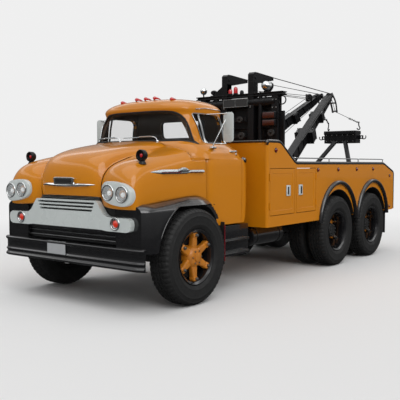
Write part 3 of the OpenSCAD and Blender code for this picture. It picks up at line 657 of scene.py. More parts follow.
def rearGlassPrism():
    half, rise, middle = cab["rearGlass"]
    outline = [(-half, middle - rise), (half, middle - rise), (half, middle + rise), (-half, middle + rise)]
    return crossPrism(roundedCorners(outline, 0.06), 1.0, 1.3)


def wheelDrum(radius, low, high, y=0.0, z=0.53):
    bm = bmesh.new()
    tube(bm, at(low, y, z), at(high, y, z), radius, steps=128)
    return bm


def makeCab():
    outer = cabForm(cab["outside"], 0)
    room = cabForm(cab["inside"], cab["wall"])
    skin = carve(outer.copy(), [("DIFFERENCE", room)])
    arches = carve(outer.copy(), [("INTERSECT", twice(lambda: wheelDrum(0.70, 0.515, 1.1)))])
    shell = carve(skin.copy(), [
        ("UNION", arches), ("DIFFERENCE", twice(lambda: wheelDrum(0.665, 0.55, 1.101))),
        ("DIFFERENCE", boxOf((-0.45, 0.3, 0.8), (0.45, 1.3, 0.885))),
        ("DIFFERENCE", twice(lambda: doorBlock(0))),
        ("DIFFERENCE", windshieldPrism()), ("DIFFERENCE", rearGlassPrism())])
    addPiece("cabShell", shell, "bodyPaint", replaces=["cab_shell"], normals=False)
    door = carve(skin.copy(), [("INTERSECT", doorBlock(cab["seam"])), ("DIFFERENCE", sideGlassPrism())])
    other = mirrored(door)
    addPiece("leftDoor", door, "bodyPaint", "left_cab_door", "body_paint", ["left_door"], normals=False)
    addPiece("rightDoor", other, "bodyPaint", "right_cab_door", "body_paint", ["right_door"], normals=False)
    print("cab and doors are made")


makeCab()

# hood and fenders: a net of points that a subdivision surface rounds
# a row runs from the front lip over the top to the cowl, and rows go from the middle outwards
# each row: x at the front, x at the rear, then (y, z) down its length
noseNet = {
    "hood": [
        (0.000, 0.000, [(-0.835, 1.200), (-0.858, 1.290), (-0.862, 1.400), (-0.846, 1.510), (-0.800, 1.600),
                        (-0.700, 1.668), (-0.520, 1.722), (-0.200, 1.772), (0.128, 1.812)]),
        (0.200, 0.220, [(-0.832, 1.200), (-0.854, 1.290), (-0.857, 1.400), (-0.840, 1.508), (-0.795, 1.597),
                        (-0.695, 1.664), (-0.515, 1.719), (-0.200, 1.769), (0.128, 1.810)]),
        (0.350, 0.400, [(-0.822, 1.198), (-0.842, 1.290), (-0.843, 1.400), (-0.824, 1.502), (-0.780, 1.586),
                        (-0.680, 1.652), (-0.500, 1.708), (-0.200, 1.760), (0.128, 1.803)]),
        (0.428, 0.520, [(-0.806, 1.195), (-0.824, 1.285), (-0.822, 1.385), (-0.802, 1.480), (-0.757, 1.560),
                        (-0.660, 1.628), (-0.480, 1.686), (-0.200, 1.742), (0.128, 1.788)]),
        (0.462, 0.575, [(-0.788, 1.192), (-0.804, 1.275), (-0.800, 1.362), (-0.775, 1.445), (-0.728, 1.515),
                        (-0.640, 1.575), (-0.470, 1.636), (-0.200, 1.706), (0.128, 1.764)]),
        (0.480, 0.600, [(-0.775, 1.190), (-0.790, 1.265), (-0.784, 1.345), (-0.756, 1.418), (-0.706, 1.482),
                        (-0.620, 1.540), (-0.460, 1.604), (-0.200, 1.682), (0.128, 1.746)])],
    "fender": [
        (0.488, 0.608, [(-0.772, 1.120), (-0.789, 1.240), (-0.783, 1.338), (-0.755, 1.414), (-0.705, 1.478),
                        (-0.620, 1.536), (-0.460, 1.600), (-0.200, 1.679), (0.128, 1.744)]),
        (0.520, 0.650, [(-0.792, 1.105), (-0.815, 1.222), (-0.813, 1.332), (-0.785, 1.418), (-0.728, 1.490),
                        (-0.635, 1.546), (-0.468, 1.604), (-0.200, 1.676), (0.128, 1.740)]),
        (0.590, 0.720, [(-0.822, 1.092), (-0.854, 1.205), (-0.856, 1.325), (-0.830, 1.425), (-0.768, 1.508),
                        (-0.662, 1.562), (-0.480, 1.612), (-0.200, 1.670), (0.128, 1.732)]),
        (0.700, 0.800, [(-0.840, 1.085), (-0.873, 1.200), (-0.878, 1.312), (-0.853, 1.425), (-0.788, 1.517),
                        (-0.682, 1.572), (-0.492, 1.616), (-0.200, 1.664), (0.128, 1.718)]),
        (0.820, 0.880, [(-0.845, 1.080), (-0.880, 1.190), (-0.887, 1.300), (-0.864, 1.412), (-0.800, 1.506),
                        (-0.692, 1.562), (-0.500, 1.602), (-0.200, 1.644), (0.128, 1.694)]),
        (0.915, 0.950, [(-0.838, 1.080), (-0.870, 1.180), (-0.876, 1.284), (-0.853, 1.388), (-0.790, 1.478),
                        (-0.684, 1.532), (-0.494, 1.568), (-0.200, 1.604), (0.128, 1.650)]),
        (0.985, 1.000, [(-0.822, 1.080), (-0.846, 1.165), (-0.848, 1.256), (-0.826, 1.348), (-0.764, 1.430),
                        (-0.662, 1.478), (-0.480, 1.508), (-0.190, 1.538), (0.128, 1.582)]),
        (1.016, 1.012, [(-0.800, 1.080), (-0.806, 1.135), (-0.802, 1.200), (-0.780, 1.262), (-0.728, 1.322),
                        (-0.636, 1.362), (-0.456, 1.388), (-0.184, 1.408), (0.128, 1.436)]),
        (1.018, 1.012, [(-0.790, 1.080), (-0.778, 1.086), (-0.762, 1.093), (-0.738, 1.101), (-0.700, 1.110),
                        (-0.624, 1.122), (-0.446, 1.142), (-0.182, 1.165), (0.128, 1.180)])],
    "skin": 0.012, "levels": 3,
}


def netSheet(bm, rows):
    # a grid with one column per point of a row, moved to the net's points
    columns = len(rows[0][2])

    def place(u, v):
        front, rear, points = rows[round(v * (len(rows) - 1))]
        k = round(u * (columns - 1))
        y, z = points[k]
        share = min(max((y + 0.80) / 0.93, 0), 1)
        return at(front + (rear - front) * share, y, z)
    return sheetOf(bm, columns - 1, len(rows) - 1, place)


def roundNet(piece, skin, levels, mirror):
    if mirror:
        half = piece.modifiers.new("otherHalf", "MIRROR")
        half.use_clip = True
    smooth = piece.modifiers.new("round", "SUBSURF")
    smooth.levels = levels
    smooth.render_levels = levels
    smooth.boundary_smooth = "PRESERVE_CORNERS"
    wall = piece.modifiers.new("wall", "SOLIDIFY")
    wall.thickness = skin
    wall.offset = -1
    wall.use_even_offset = True


def facesOut(bm, towards):
    # a sheet's faces are turned to look away from a point inside the truck
    bm.normal_update()
    for face in bm.faces:
        if face.normal.dot(face.calc_center_median() - towards) < 0:
            face.normal_flip()


def makeHood():
    bm = bmesh.new()
    netSheet(bm, noseNet["hood"])
    facesOut(bm, at(0, 0, 1.2))
    hood = addPiece("hoodLid", bm, "bodyPaint", "hood_lid", "body_paint", ["hood"], crease=180, normals=False)
    roundNet(hood, noseNet["skin"], noseNet["levels"], True)


def makeFenders():
    bm = bmesh.new()
    netSheet(bm, noseNet["fender"])
    # the panel behind the wheel arch, down to the door
    side = [(1.000, 1.575), (1.012, 1.436), (1.012, 1.180)]

    def place(u, v):
        x, z = side[round(v * 2)]
        y = 0.128 + 0.217 * u
        drop = (0, 0, 0.082)[round(v * 2)] * u ** 1.6
        return at(x - 0.006 * u, y, z + (0.012 * u if v < 0.2 else 0) - drop)
    sheetOf(bm, 4, 2, place)
    bmesh.ops.remove_doubles(bm, verts=bm.verts, dist=0.008)
    facesOut(bm, at(0.6, -0.1, 1.1))
    fender = addPiece("leftFender", bm, "bodyPaint", replaces=["fenders"], crease=180, normals=False)
    roundNet(fender, noseNet["skin"], noseNet["levels"], False)
    other = fender.data.copy()
    other.transform(Matrix.Diagonal((-1, 1, 1, 1)))
    other.flip_normals()
    bm = bmesh.new()
    bm.from_mesh(other)
    fender = addPiece("rightFender", bm, "bodyPaint", crease=180, normals=False)
    roundNet(fender, noseNet["skin"], noseNet["levels"], False)


def makeSeals():
    # painted flanges under the seams between hood, fenders and cowl
    bm = bmesh.new()
    inner, outer = noseNet["hood"][-2], noseNet["fender"][1]
    for side in (-1, 1):
        def place(u, v):
            first, last = (inner, outer) if v > 0.5 else (outer, inner)
            front, rear, points = first
            y, z = points[round(u * 8)]
            share = min(max((y + 0.80) / 0.93, 0), 1)
            near = 0.3 if v > 0.5 else 0.5
            y2, z2 = last[2][round(u * 8)]
            x = (front + (rear - front) * share) * (1 - near) + (last[0] + (last[1] - last[0]) * share) * near
            return at(side * x, y + (y2 - y) * near + 0.014, z + (z2 - z) * near - 0.014)
        sheetOf(bm, 8, 1, place)
    block(bm, at(0.972, 0.10, 1.54), at(0.987, 0.35, 1.61))
    block(bm, at(-0.987, 0.10, 1.54), at(-0.972, 0.35, 1.61))
    addPiece("hoodSeals", bm, "bodyPaint")


makeHood()
makeFenders()
makeSeals()
print("hood and fenders are made")


# front end
def swept(outline, stations, place):
    # a closed outline of (a, b) carried along the stations; place(station, a, b) gives a point
    count = len(outline)
    return closedForm(count, stations, lambda s, turn: place(s,
                                                             *outline[round(turn / (2 * math.pi) * count) % count]))


def steps(low, high, count):
    return [low + (high - low) * k / count for k in range(count + 1)]


def joinInto(bm, *others):
    for other in others:
        mesh = bpy.data.meshes.new("joined")
        other.to_mesh(mesh)
        other.free()
        bm.from_mesh(mesh)
        bpy.data.meshes.remove(mesh)
    return bm


def bothSides(bm):
    return joinInto(bm, mirrored(bm))


def ringOf(bm, centre, axis, radius, thick, steps=48, sides=12):
    # a plain torus
    profile = [(thick * math.sin(2 * math.pi * k / sides), radius + thick * math.cos(2 * math.pi * k / sides))
               for k in range(sides)]
    return lathe(bm, profile, centre, axis, steps)


front = {
    "bumper": [(-0.800, 0.690), (-0.842, 0.690), (-0.857, 0.684), (-0.862, 0.672), (-0.856, 0.658), (-0.841, 0.648),
               (-0.838, 0.630), (-0.838, 0.566), (-0.841, 0.556), (-0.853, 0.548), (-0.855, 0.540), (-0.849, 0.530),
               (-0.840, 0.524), (-0.840, 0.510), (-0.845, 0.503), (-0.858, 0.494), (-0.862, 0.482), (-0.856, 0.470),
               (-0.842, 0.464), (-0.800, 0.464), (-0.800, 0.470), (-0.830, 0.474), (-0.830, 0.682), (-0.800, 0.682)],
    "bumperHalf": 1.12,
    "grille": [(-0.478, 1.158), (0.478, 1.158), (0.500, 1.140), (0.585, 1.030), (0.630, 1.003), (0.700, 0.996),
               (0.930, 0.996), (0.975, 0.975), (0.985, 0.925), (0.970, 0.870), (0.925, 0.853), (0.640, 0.853),
               (0.560, 0.862), (-0.560, 0.862), (-0.640, 0.853), (-0.925, 0.853), (-0.970, 0.870), (-0.985, 0.925),
               (-0.975, 0.975), (-0.930, 0.996), (-0.700, 0.996), (-0.630, 1.003), (-0.585, 1.030), (-0.500, 1.140)],
    "slots": [(1.128, 0.452), (1.090, 0.437), (1.052, 0.420)],
    "bezel": [(0.578, 1.235), (0.588, 1.325), (0.655, 1.366), (0.790, 1.368), (0.930, 1.345), (1.000, 1.285),
              (1.012, 1.205), (0.985, 1.132), (0.900, 1.108), (0.745, 1.128), (0.625, 1.168)],
    "lamps": [(0.705, 1.250), (0.898, 1.236)], "lampRadius": 0.079,
    "parking": (0.765, 0.932),
}


def bezelFace(x):
    return -0.889 + 1.4 * max(0.0, abs(x - 0.80) - 0.08) ** 2


def makeBumper():
    half = front["bumperHalf"]

    def place(x, y, z):
        back = max(0.0, abs(x) - half + 0.10) / 0.10
        return at(x, y + 0.035 * back ** 2, z)
    bm = swept(front["bumper"], [-half, -half + 0.006] + steps(-half + 0.02, half - 0.02, 40) + [half - 0.006, half],
               place)
    joinInto(bm, boxOf((-0.38, -0.81, 0.56), (-0.30, -0.60, 0.65)), boxOf((0.30, -0.81, 0.56), (0.38, -0.60, 0.65)))
    addPiece("bumper", bm, "blackPaint", replaces=["front_bumper"], crease=50)
    blank = boxOf((-0.315, -0.858, 0.548), (-0.012, -0.846, 0.684))
    addPiece("frontPlate", blank, "plateBlank", bevel=0.004)
    rim = crossPrism(roundedCorners([(-0.322, 0.541), (-0.005, 0.541), (-0.005, 0.691), (-0.322, 0.691)], 0.02),
                     -0.855, -0.843)
    addPiece("frontPlateFrame", rim, "chrome", bevel=0.002)


def makeApron():
    ribs = [(-0.70, 0.862), (-0.775, 0.862), (-0.792, 0.852), (-0.796, 0.838), (-0.790, 0.826), (-0.776, 0.818),
            (-0.774, 0.806), (-0.788, 0.798), (-0.793, 0.788), (-0.786, 0.777), (-0.772, 0.770), (-0.770, 0.758),
            (-0.783, 0.750), (-0.788, 0.740), (-0.780, 0.730), (-0.764, 0.724), (-0.760, 0.694), (-0.70, 0.694)]

    def place(x, y, z):
        back = max(0.0, abs(x) - 0.80) / 0.17
        return at(x, y + 0.10 * back ** 2.4, z)
    addPiece("apron", swept(ribs, steps(-0.97, 0.97, 60), place), "blackPaint",
             replaces=["front_apron"], crease=50)

    def placeBack(x, y, z):
        back = max(0.0, abs(x) - 0.72) / 0.26
        return at(x, y + 0.09 * back ** 2.2, z)
    panel = [(-0.66, 0.85), (-0.775, 0.85), (-0.785, 0.87), (-0.785, 1.16), (-0.775, 1.195), (-0.66, 1.195)]
    addPiece("grilleSurround", swept(panel, steps(-0.975, 0.975, 40), placeBack), "mattBlack", slot="black_paint",
             crease=50)


def makeGrille():
    bm = crossPrism(roundedCorners(front["grille"], 0.012, 3), -0.862, -0.795)
    cutters = []
    for z, half in front["slots"]:
        outline = [(-half, z - 0.0105), (half, z - 0.0105), (half + 0.008, z + 0.0105), (-half - 0.008, z + 0.0105)]
        cutters.append(("DIFFERENCE", crossPrism(roundedCorners(outline, 0.006, 2), -0.90, -0.70)))
    px, pz = front["parking"]
    cutters.append(("DIFFERENCE", bothSides(crossDisc(px, pz, 0.058, -0.90, -0.80))))
    grille = carve(bm, cutters)
    addPiece("grille", grille, "palePaint", slot="white_paint", replaces=["grille_panel"], bevel=0.009, segments=3,
             crease=40)
    rings, lenses = bmesh.new(), bmesh.new()
    for side in (-1, 1):
        centre = at(side * px, -0.866, pz)
        ringOf(rings, centre, (0, -1, 0), 0.061, 0.008)
        ringOf(rings, at(side * px, -0.858, pz), (0, -1, 0), 0.042, 0.006)
        lathe(rings, [(-0.03, closedEnd), (-0.03, 0.058), (-0.02, 0.058), (-0.024, closedEnd)], centre, (0, -1, 0), 40)
        lathe(lenses, [(-0.022, closedEnd), (-0.022, 0.040), (-0.012, 0.040), (0.002, 0.030), (0.010, 0.016),
                       (0.013, closedEnd)], centre, (0, -1, 0), 40)
    addPiece("parkingRings", rings, "chrome")
    addPiece("parkingLenses", lenses, "lensOrange", slot="lamp_red")
    slats = bmesh.new()
    for z in (1.052, 1.090, 1.128, 1.172, 1.186):
        block(slats, at(-0.47, -0.800, z - 0.003), at(0.47, -0.786, z + 0.003))
    addPiece("innerSlats", slats, "satinSteel")


def crossDisc(x, z, radius, low, high):
    bm = bmesh.new()
    tube(bm, at(x, low, z), at(x, high, z), radius, steps=48)
    return bm


def makeHeadlights():
    outline = roundedCorners(front["bezel"], 0.05, 5)
    middle = Vector((0.80, 1.24))
    rounds = [(1.0, 0.05), (1.0, 0.004), (0.992, -0.006), (0.975, -0.012), (0.93, -0.015), (0.60, -0.016),
              (0.25, -0.016)]

    def ringAt(s, turn):
        share, depth = rounds[s]
        px, pz = outline[round(turn / (2 * math.pi) * len(outline)) % len(outline)]
        x, z = middle.x + (px - middle.x) * share, middle.y + (pz - middle.y) * share
        return at(x, bezelFace(x) + depth, z)
    bezel = closedForm(len(outline), list(range(len(rounds))), ringAt)
    radius = front["lampRadius"]
    bezel = carve(bezel, [("DIFFERENCE", crossDisc(x, z, radius, -1.0, -0.855)) for x, z in front["lamps"]])
    addPiece("headlightBezels", bothSides(bezel), "palePaint", slot="chrome", replaces=["headlights"], crease=40)
    bowls, rims, lenses, bulbs = bmesh.new(), bmesh.new(), bmesh.new(), bmesh.new()
    for x, z in front["lamps"]:
        face = bezelFace(x) - 0.016
        for side in (-1, 1):
            centre = at(side * x, face, z)
            ringOf(rims, centre, (0, -1, 0), radius - 0.001, 0.0075)
            lathe(bowls, [(-0.004, radius), (-0.008, radius - 0.008), (-0.020, radius - 0.016),
                          (-0.034, radius - 0.036),
                          (-0.042, 0.022), (-0.044, closedEnd), (-0.052, closedEnd),
                          (-0.052, radius)], centre, (0, -1, 0), 48)
            lathe(lenses, [(-0.004, radius - 0.006), (0.006, radius - 0.012), (0.016, radius - 0.030), (0.022, 0.020),
                           (0.023, closedEnd), (0.019, closedEnd), (0.018, 0.020), (0.012, radius - 0.032),
                           (0.003, radius - 0.014), (-0.006, radius - 0.010)], centre, (0, -1, 0), 48)
            ball(bulbs, centre + Vector((0, 0.022, -0.004)), 0.026, (1, 0.8, 1), 24)
    addPiece("headlightBowls", bowls, "lampBowl", slot="chrome")
    addPiece("headlightRims", rims, "chrome")
    addPiece("headlightBulbs", bulbs, "lampWhite", slot="white_paint")
    addPiece("headlightGlass", lenses, "lampGlass", slot="glass")


def makeBadge():
    # a plain winged bar with a plain block over it, and no lettering
    bar = [(-0.012, -0.022), (-0.026, -0.014), (-0.030, 0.0), (-0.022, 0.012), (-0.004, 0.020), (0.01, 0.0)]

    def place(x, y, z):
        share = abs(x) / 0.43
        slim = (1 - share ** 3) ** 0.6 if share < 1 else 0.02
        return at(x, -0.858 + 0.22 * x * x + y * max(slim, 0.05), 1.312 + z * max(slim, 0.05) + 0.01 * share)
    bm = swept(bar, steps(-0.43, 0.43, 60), place)
    addPiece("badgeBar", bm, "chrome", "hood_lid", "chrome", crease=40)
    block = [(-0.155, 1.318), (0.155, 1.318), (0.170, 1.392), (0.120, 1.400), (-0.120, 1.400), (-0.170, 1.392)]
    addPiece("badgeBlock", crossPrism(roundedCorners(block, 0.012, 3), -0.884, -0.845), "chrome", "hood_lid",
             "chrome", bevel=0.006)
    inlay = [(-0.125, 1.335), (0.125, 1.335), (0.135, 1.380), (-0.135, 1.380)]
    addPiece("badgeInlay", crossPrism(roundedCorners(inlay, 0.012, 3), -0.887, -0.86), "mattBlack", "hood_lid",
             "black_paint", bevel=0.001)
    wings = bmesh.new()
    for side in (-1, 1):
        block = boxOf((0.19, -0.884, 1.309), (0.36, -0.84, 1.3175))
        joinInto(wings, block if side > 0 else mirrored(block))
    bmesh.ops.transform(wings, matrix=Matrix.Identity(4), verts=wings.verts)
    for v in wings.verts:
        v.co.y += 0.19 * v.co.x ** 2
    addPiece("badgeLines", wings, "mattBlack", "hood_lid", "black_paint")


def makeSpears():
    # a bright spear: pointed at the front, with a raised wing near its rear third
    section = [(0.000, -0.026), (0.013, -0.023), (0.019, -0.012), (0.015, 0.006), (0.004, 0.024), (-0.012, 0.024)]

    def place(y, x, z):
        share = (y + 0.585) / 0.87
        slim = min(1, share / 0.20) ** 0.7
        thin = 1 - 0.35 * min(max((share - 0.66) / 0.04, 0), 1)
        side = 0.990 + 0.022 * share
        return at(side + x * max(slim, 0.08), y, 1.456 + z * thin * max(slim, 0.05) + 0.004 * share)
    spear = swept(section, steps(-0.585, 0.285, 60), place)
    wing = swept([(-0.004, -0.012), (0.032, -0.006), (0.034, 0.012), (0.022, 0.036), (-0.004, 0.040)],
                 steps(-0.16, 0.02, 12),
                 lambda y, x, z: at(1.000 + x, y, 1.466 + z * (0.35 + 0.65 * math.sin(math.pi * (y + 0.16) / 0.18))))
    joinInto(spear, wing)
    addPiece("spears", bothSides(spear), "polishedTrim", slot="chrome", crease=40, bevel=0.002)
    groove = bmesh.new()
    block(groove, at(1.010, -0.42, 1.449), at(1.0335, -0.13, 1.456))
    block(groove, at(1.010, 0.045, 1.452), at(1.0345, 0.25, 1.458))
    addPiece("spearInlay", bothSides(groove), "lensDark")


def crossPrismBox(low, high):
    bm = boxOf(low, high)
    bmesh.ops.bevel(bm, geom=bm.edges[:], offset=0.011, segments=3, profile=0.5, affect="EDGES", material=-1)
    return bm


def makePods():
    # a round black lamp on each fender, with a small red lens in a deep bowl
    black, lens, ring = bmesh.new(), bmesh.new(), bmesh.new()
    for side in (-1, 1):
        centre = at(side * 0.902, -0.604, 1.628)
        lathe(black, [(-0.044, closedEnd), (-0.042, 0.030), (-0.034, 0.048), (-0.018, 0.058), (0.026, 0.061),
                      (0.034, 0.057),
                      (0.034, 0.050), (0.012, 0.042), (0.008, closedEnd)], centre, (0, -1, 0), 40)
        lathe(black, [(-0.048, closedEnd), (-0.048, 0.026), (-0.062, 0.030), (-0.082, 0.042), (-0.090, 0.044),
                      (-0.090, closedEnd)],
              centre, (0, 0, 1), 32)
        lathe(lens, [(0.006, closedEnd), (0.006, 0.021), (0.016, 0.019), (0.024, 0.010), (0.026, closedEnd)], centre,
              (0, -1, 0), 32)
        ringOf(ring, centre + Vector((0, -0.012, 0)), (0, -1, 0), 0.024, 0.004, 32, 10)
    addPiece("podShells", black, "craneBlack")
    addPiece("podLenses", lens, "lensRed")
    addPiece("podRings", ring, "craneBlack")


def makeExtensions():
    # the black skirt under each fender: a ledge over the wheel, a rounded front and an open arch
    ledge = [(0.945, 1.100), (0.960, 1.136), (1.010, 1.138), (1.070, 1.118), (1.118, 1.094), (1.142, 1.074),
             (1.150, 1.050), (1.150, 0.640), (1.120, 0.640), (1.120, 1.050), (1.100, 1.075), (0.945, 1.075)]

    def place(y, x, z):
        nose = max(0.0, -0.66 - y) / 0.15
        x = x if x < 1.0 else x - 0.075 * nose ** 2.2
        lift = 0.052 * min(max((y + 0.62) / 0.60, 0), 1)
        near = min(max((1.15 - x) / 0.13, 0), 1)
        fall = 0.042 * max(0.0, (y - 0.10) / 0.235) ** 2
        return at(x, y, z + (lift * near - fall if z > 1.0 else 0))
    skirt = swept(ledge, steps(-0.81, 0.335, 60), place)
    face = crossPrism(roundedCorners([(0.72, 0.69), (1.02, 0.69), (1.075, 0.70), (1.075, 1.06), (1.04, 1.10),
                                      (0.945, 1.10), (0.70, 1.07)], 0.02, 3), -0.808, -0.785)
    arch = carve(wheelDrum(0.64, 0.9, 1.3), [("INTERSECT", boxOf((0.8, -0.9, -0.3), (1.4, 0.9, 1.094)))])
    skirt = carve(skirt, [("DIFFERENCE", arch), ("DIFFERENCE", boxOf((1.0, -0.30, 0.5), (1.2, 0.6, 0.80)))])
    joinInto(skirt, face)
    addPiece("fenderSkirts", bothSides(skirt), "blackPaint", replaces=["fender_extensions"],
             crease=40)
    lip = bmesh.new()
    ringOf(lip, at(1.146, 0, 0.53), (1, 0, 0), 0.643, 0.010, 128, 10)
    keep = carve(lip, [("INTERSECT", boxOf((1.0, -0.60, 0.78), (1.3, 0.31, 1.092)))])
    addPiece("archLips", bothSides(keep), "blackPaint", crease=50)


makeBumper()
makeApron()
makeGrille()
makeHeadlights()
makeBadge()
makeSpears()
makePods()
makeExtensions()
print("front end is made")


# wheels
wheels = {
    "tyreX": 1.0275, "tyreR": 0.53, "twinGap": 0.335, "lugs": 56,
    # radius and place across the tyre, from the bead to the crown
    "tyreHalf": [(0.284, 0.060), (0.284, 0.098), (0.290, 0.1035), (0.311, 0.1035), (0.313, 0.113), (0.320, 0.118),
                 (0.335, 0.127), (0.352, 0.1315), (0.355, 0.1335), (0.360, 0.1325), (0.385, 0.1355), (0.420, 0.1375),
                 (0.440, 0.1372), (0.443, 0.1385), (0.449, 0.1385), (0.452, 0.1362), (0.470, 0.1325), (0.486, 0.1275),
                 (0.490, 0.1295), (0.506, 0.1225), (0.519, 0.1065), (0.526, 0.088), (0.528, 0.078)],
    "grooves": [(0.070, 0.060), (0.026, 0.016)],
    "rim": [(0.070, 0.282), (0.098, 0.290), (0.112, 0.300), (0.117, 0.303), (0.118, 0.297), (0.108, 0.284),
            (0.100, 0.272), (0.084, 0.268), (0.060, 0.262), (-0.06, 0.262), (-0.09, 0.268), (-0.10, 0.284),
            (-0.10, 0.290), (-0.07, 0.282)],
}


def makeTyre(bm, x, y):
    half = list(wheels["tyreHalf"])
    for outer, inner in wheels["grooves"]:
        half += [(0.530, outer + 0.001), (0.519, outer - 0.002), (0.519, inner + 0.002), (0.530, inner - 0.001)]
    profile = half + [(r, -a) for r, a in reversed(half)]
    lugs = wheels["lugs"]
    turns = [(k + part) / lugs for k in range(lugs) for part in (0, 0.1, 0.55, 0.65)]

    def place(u, v):
        k = round(u * len(turns)) % len(turns)
        r, a = profile[round(v * len(profile)) % len(profile)]
        sunk = k % 4 in (0, 3)
        if sunk and r > 0.50:
            depth = 0.010 if abs(a) > 0.072 else 0.006
            r = min(r, 0.530 - depth) if r > 0.519 else r - 0.006
        turn = 2 * math.pi * (turns[k] + (0.25 / lugs if a > 0 else 0))
        return at(x + a, y + r * math.sin(turn), 0.53 + r * math.cos(turn))
    made = sheetOf(bm, len(turns), len(profile), place)
    bmesh.ops.remove_doubles(bm, verts=made, dist=0.00001)



def spunAt(bm, profile, x, y, side, steps=64):
    lathe(bm, profile, at(x, y, wheels["tyreR"]), (side, 0, 0), steps)


def armsOf(bm, count, x, y, side, shape, bevel):
    # arms that reach from the hub to the rim; shape is (inner r, outer r, inner width, outer width, low, high, lift)
    inner, outer, wideIn, wideOut, low, high, lift = shape
    for k in range(count):
        arm = bmesh.new()
        for r, w, up in ((inner, wideIn, 0), (outer, wideOut, lift)):
            for depth in (low + up, high + up):
                for across in (-w / 2, w / 2):
                    arm.verts.new((depth * side, across, r))
        bmesh.ops.convex_hull(arm, input=arm.verts)
        bmesh.ops.bevel(arm, geom=arm.edges[:], offset=bevel, segments=3, profile=0.5, affect="EDGES", material=-1)
        turn = Matrix.Rotation(2 * math.pi * k / count, 4, "X")
        bmesh.ops.transform(arm, matrix=Matrix.Translation(at(x, y, wheels["tyreR"])) @ turn, verts=arm.verts)
        joinInto(bm, arm)


def studsOf(bm, count, x, y, side, radius, low, high, size, sides=6, turnBy=0.0):
    for k in range(count):
        a = 2 * math.pi * (k + turnBy) / count
        spot = at(x, y + radius * math.sin(a), wheels["tyreR"] + radius * math.cos(a))
        tube(bm, spot + Vector((low * side, 0, 0)), spot + Vector((high * side, 0, 0)), size, steps=sides)


def makeWheel(name, body, side, y, twin, nodes):
    x = side * wheels["tyreX"]
    inner = x - side * wheels["twinGap"]
    tyre = bmesh.new()
    makeTyre(tyre, x, y)
    if twin:
        makeTyre(tyre, inner, y)
    addPiece(name + ("Tyres" if twin else "Tyre"), tyre, "rubber", body, "tyre", [nodes[0]], crease=32)
    rim, spider, nuts, drum = bmesh.new(), bmesh.new(), bmesh.new(), bmesh.new()
    spunAt(rim, wheels["rim"], x, y, side, 96)
    if twin:
        spunAt(rim, wheels["rim"], inner, y, -side, 96)
        spunAt(drum, [(-0.42, 0.225), (-0.16, 0.225), (-0.15, 0.215), (-0.145, closedEnd), (-0.43, closedEnd)], x, y, side)
        # the axle's hub stands out through the deep dish
        spunAt(drum, [(-0.15, closedEnd), (-0.15, 0.125), (-0.03, 0.112), (0.02, 0.100), (0.028, 0.092), (0.030, 0.060),
                      (0.036, 0.056), (0.037, closedEnd)], x, y, side)
        spunAt(spider, [(-0.150, 0.120), (-0.150, 0.158), (-0.100, 0.163), (-0.070, 0.158), (-0.062, 0.146),
                        (-0.064, 0.118)], x, y, side)
        armsOf(spider, 6, x, y, side, (0.140, 0.262, 0.085, 0.062, -0.135, -0.075, 0.01), 0.012)
        studsOf(nuts, 6, x, y, side, 0.236, -0.070, -0.030, 0.016)
        studsOf(nuts, 6, x, y, side, 0.236, -0.030, -0.005, 0.009, 12)
        studsOf(nuts, 10, x, y, side, 0.082, 0.026, 0.040, 0.010)
        armsOf(rim, 6, x, y, side, (0.225, 0.275, 0.05, 0.05, -0.05, -0.02, 0.0), 0.006)
    else:
        spunAt(drum, [(-0.13, closedEnd), (-0.13, 0.235), (-0.01, 0.235), (0.0, 0.225), (0.0, closedEnd)], x, y, side)
        spunAt(spider, [(0.0, closedEnd), (0.0, 0.130), (0.060, 0.122), (0.092, 0.104), (0.112, 0.086), (0.118, 0.068),
                        (0.119, 0.052), (0.134, 0.047), (0.138, 0.038), (0.139, closedEnd)], x, y, side)
        armsOf(spider, 6, x, y, side, (0.085, 0.250, 0.092, 0.060, 0.020, 0.086, 0.012), 0.014)
        armsOf(spider, 6, x, y, side, (0.215, 0.264, 0.074, 0.070, 0.030, 0.104, 0.0), 0.010)
        studsOf(nuts, 6, x, y, side, 0.238, 0.100, 0.124, 0.019)
        studsOf(nuts, 6, x, y, side, 0.238, 0.120, 0.134, 0.010, 12)
        studsOf(nuts, 6, x, y, side, 0.073, 0.112, 0.124, 0.009, turnBy=0.5)
    addPiece(name + "Rim", rim, "blackPaint", body, "black_paint", crease=40)
    addPiece(name + "Spider", spider, "wheelPaint", body, "wheel_paint", [nodes[1]], crease=40)
    addPiece(name + "Nuts", nuts, "satinSteel", body, "chrome", crease=30)
    addPiece(name + "Drum", drum, "mattBlack", body, "chassis_black", crease=40)


for sideName, side in (("left", 1), ("right", -1)):
    makeWheel(sideName + "Front", sideName + "_front_roadwheel", side, 0, False,
              [sideName + "_front_tyre", sideName + "_front_wheel"])
    for order, y in (("first", 3.48), ("second", 4.78)):
        makeWheel(sideName + order.capitalize(), sideName + "_" + order + "_roadwheels", side, y, True,
                  [sideName + "_" + order + "_tyres", sideName + "_" + order + "_wheels"])
print("wheels are made")


# cab details
def cabSide(z, y, grow=0.0):
    # half width of the cab at a height and a place along it
    half, nose, tail, square = between(cab["outside"], z)
    share = min(abs((y - (nose + tail) / 2) / ((tail - nose) / 2)), 0.9999)
    return (half + grow) * (1 - share ** square) ** (1 / square)


def cabEnd(x, z, rear=False, grow=0.0):
    # where the cab's front or rear face stands at a height and a place across it
    half, nose, tail, square = between(cab["outside"], z)
    share = min(abs(x) / half, 0.9999)
    reach = ((tail - nose) / 2 + grow) * (1 - share ** square) ** (1 / square)
    return (nose + tail) / 2 + (reach if rear else -reach)


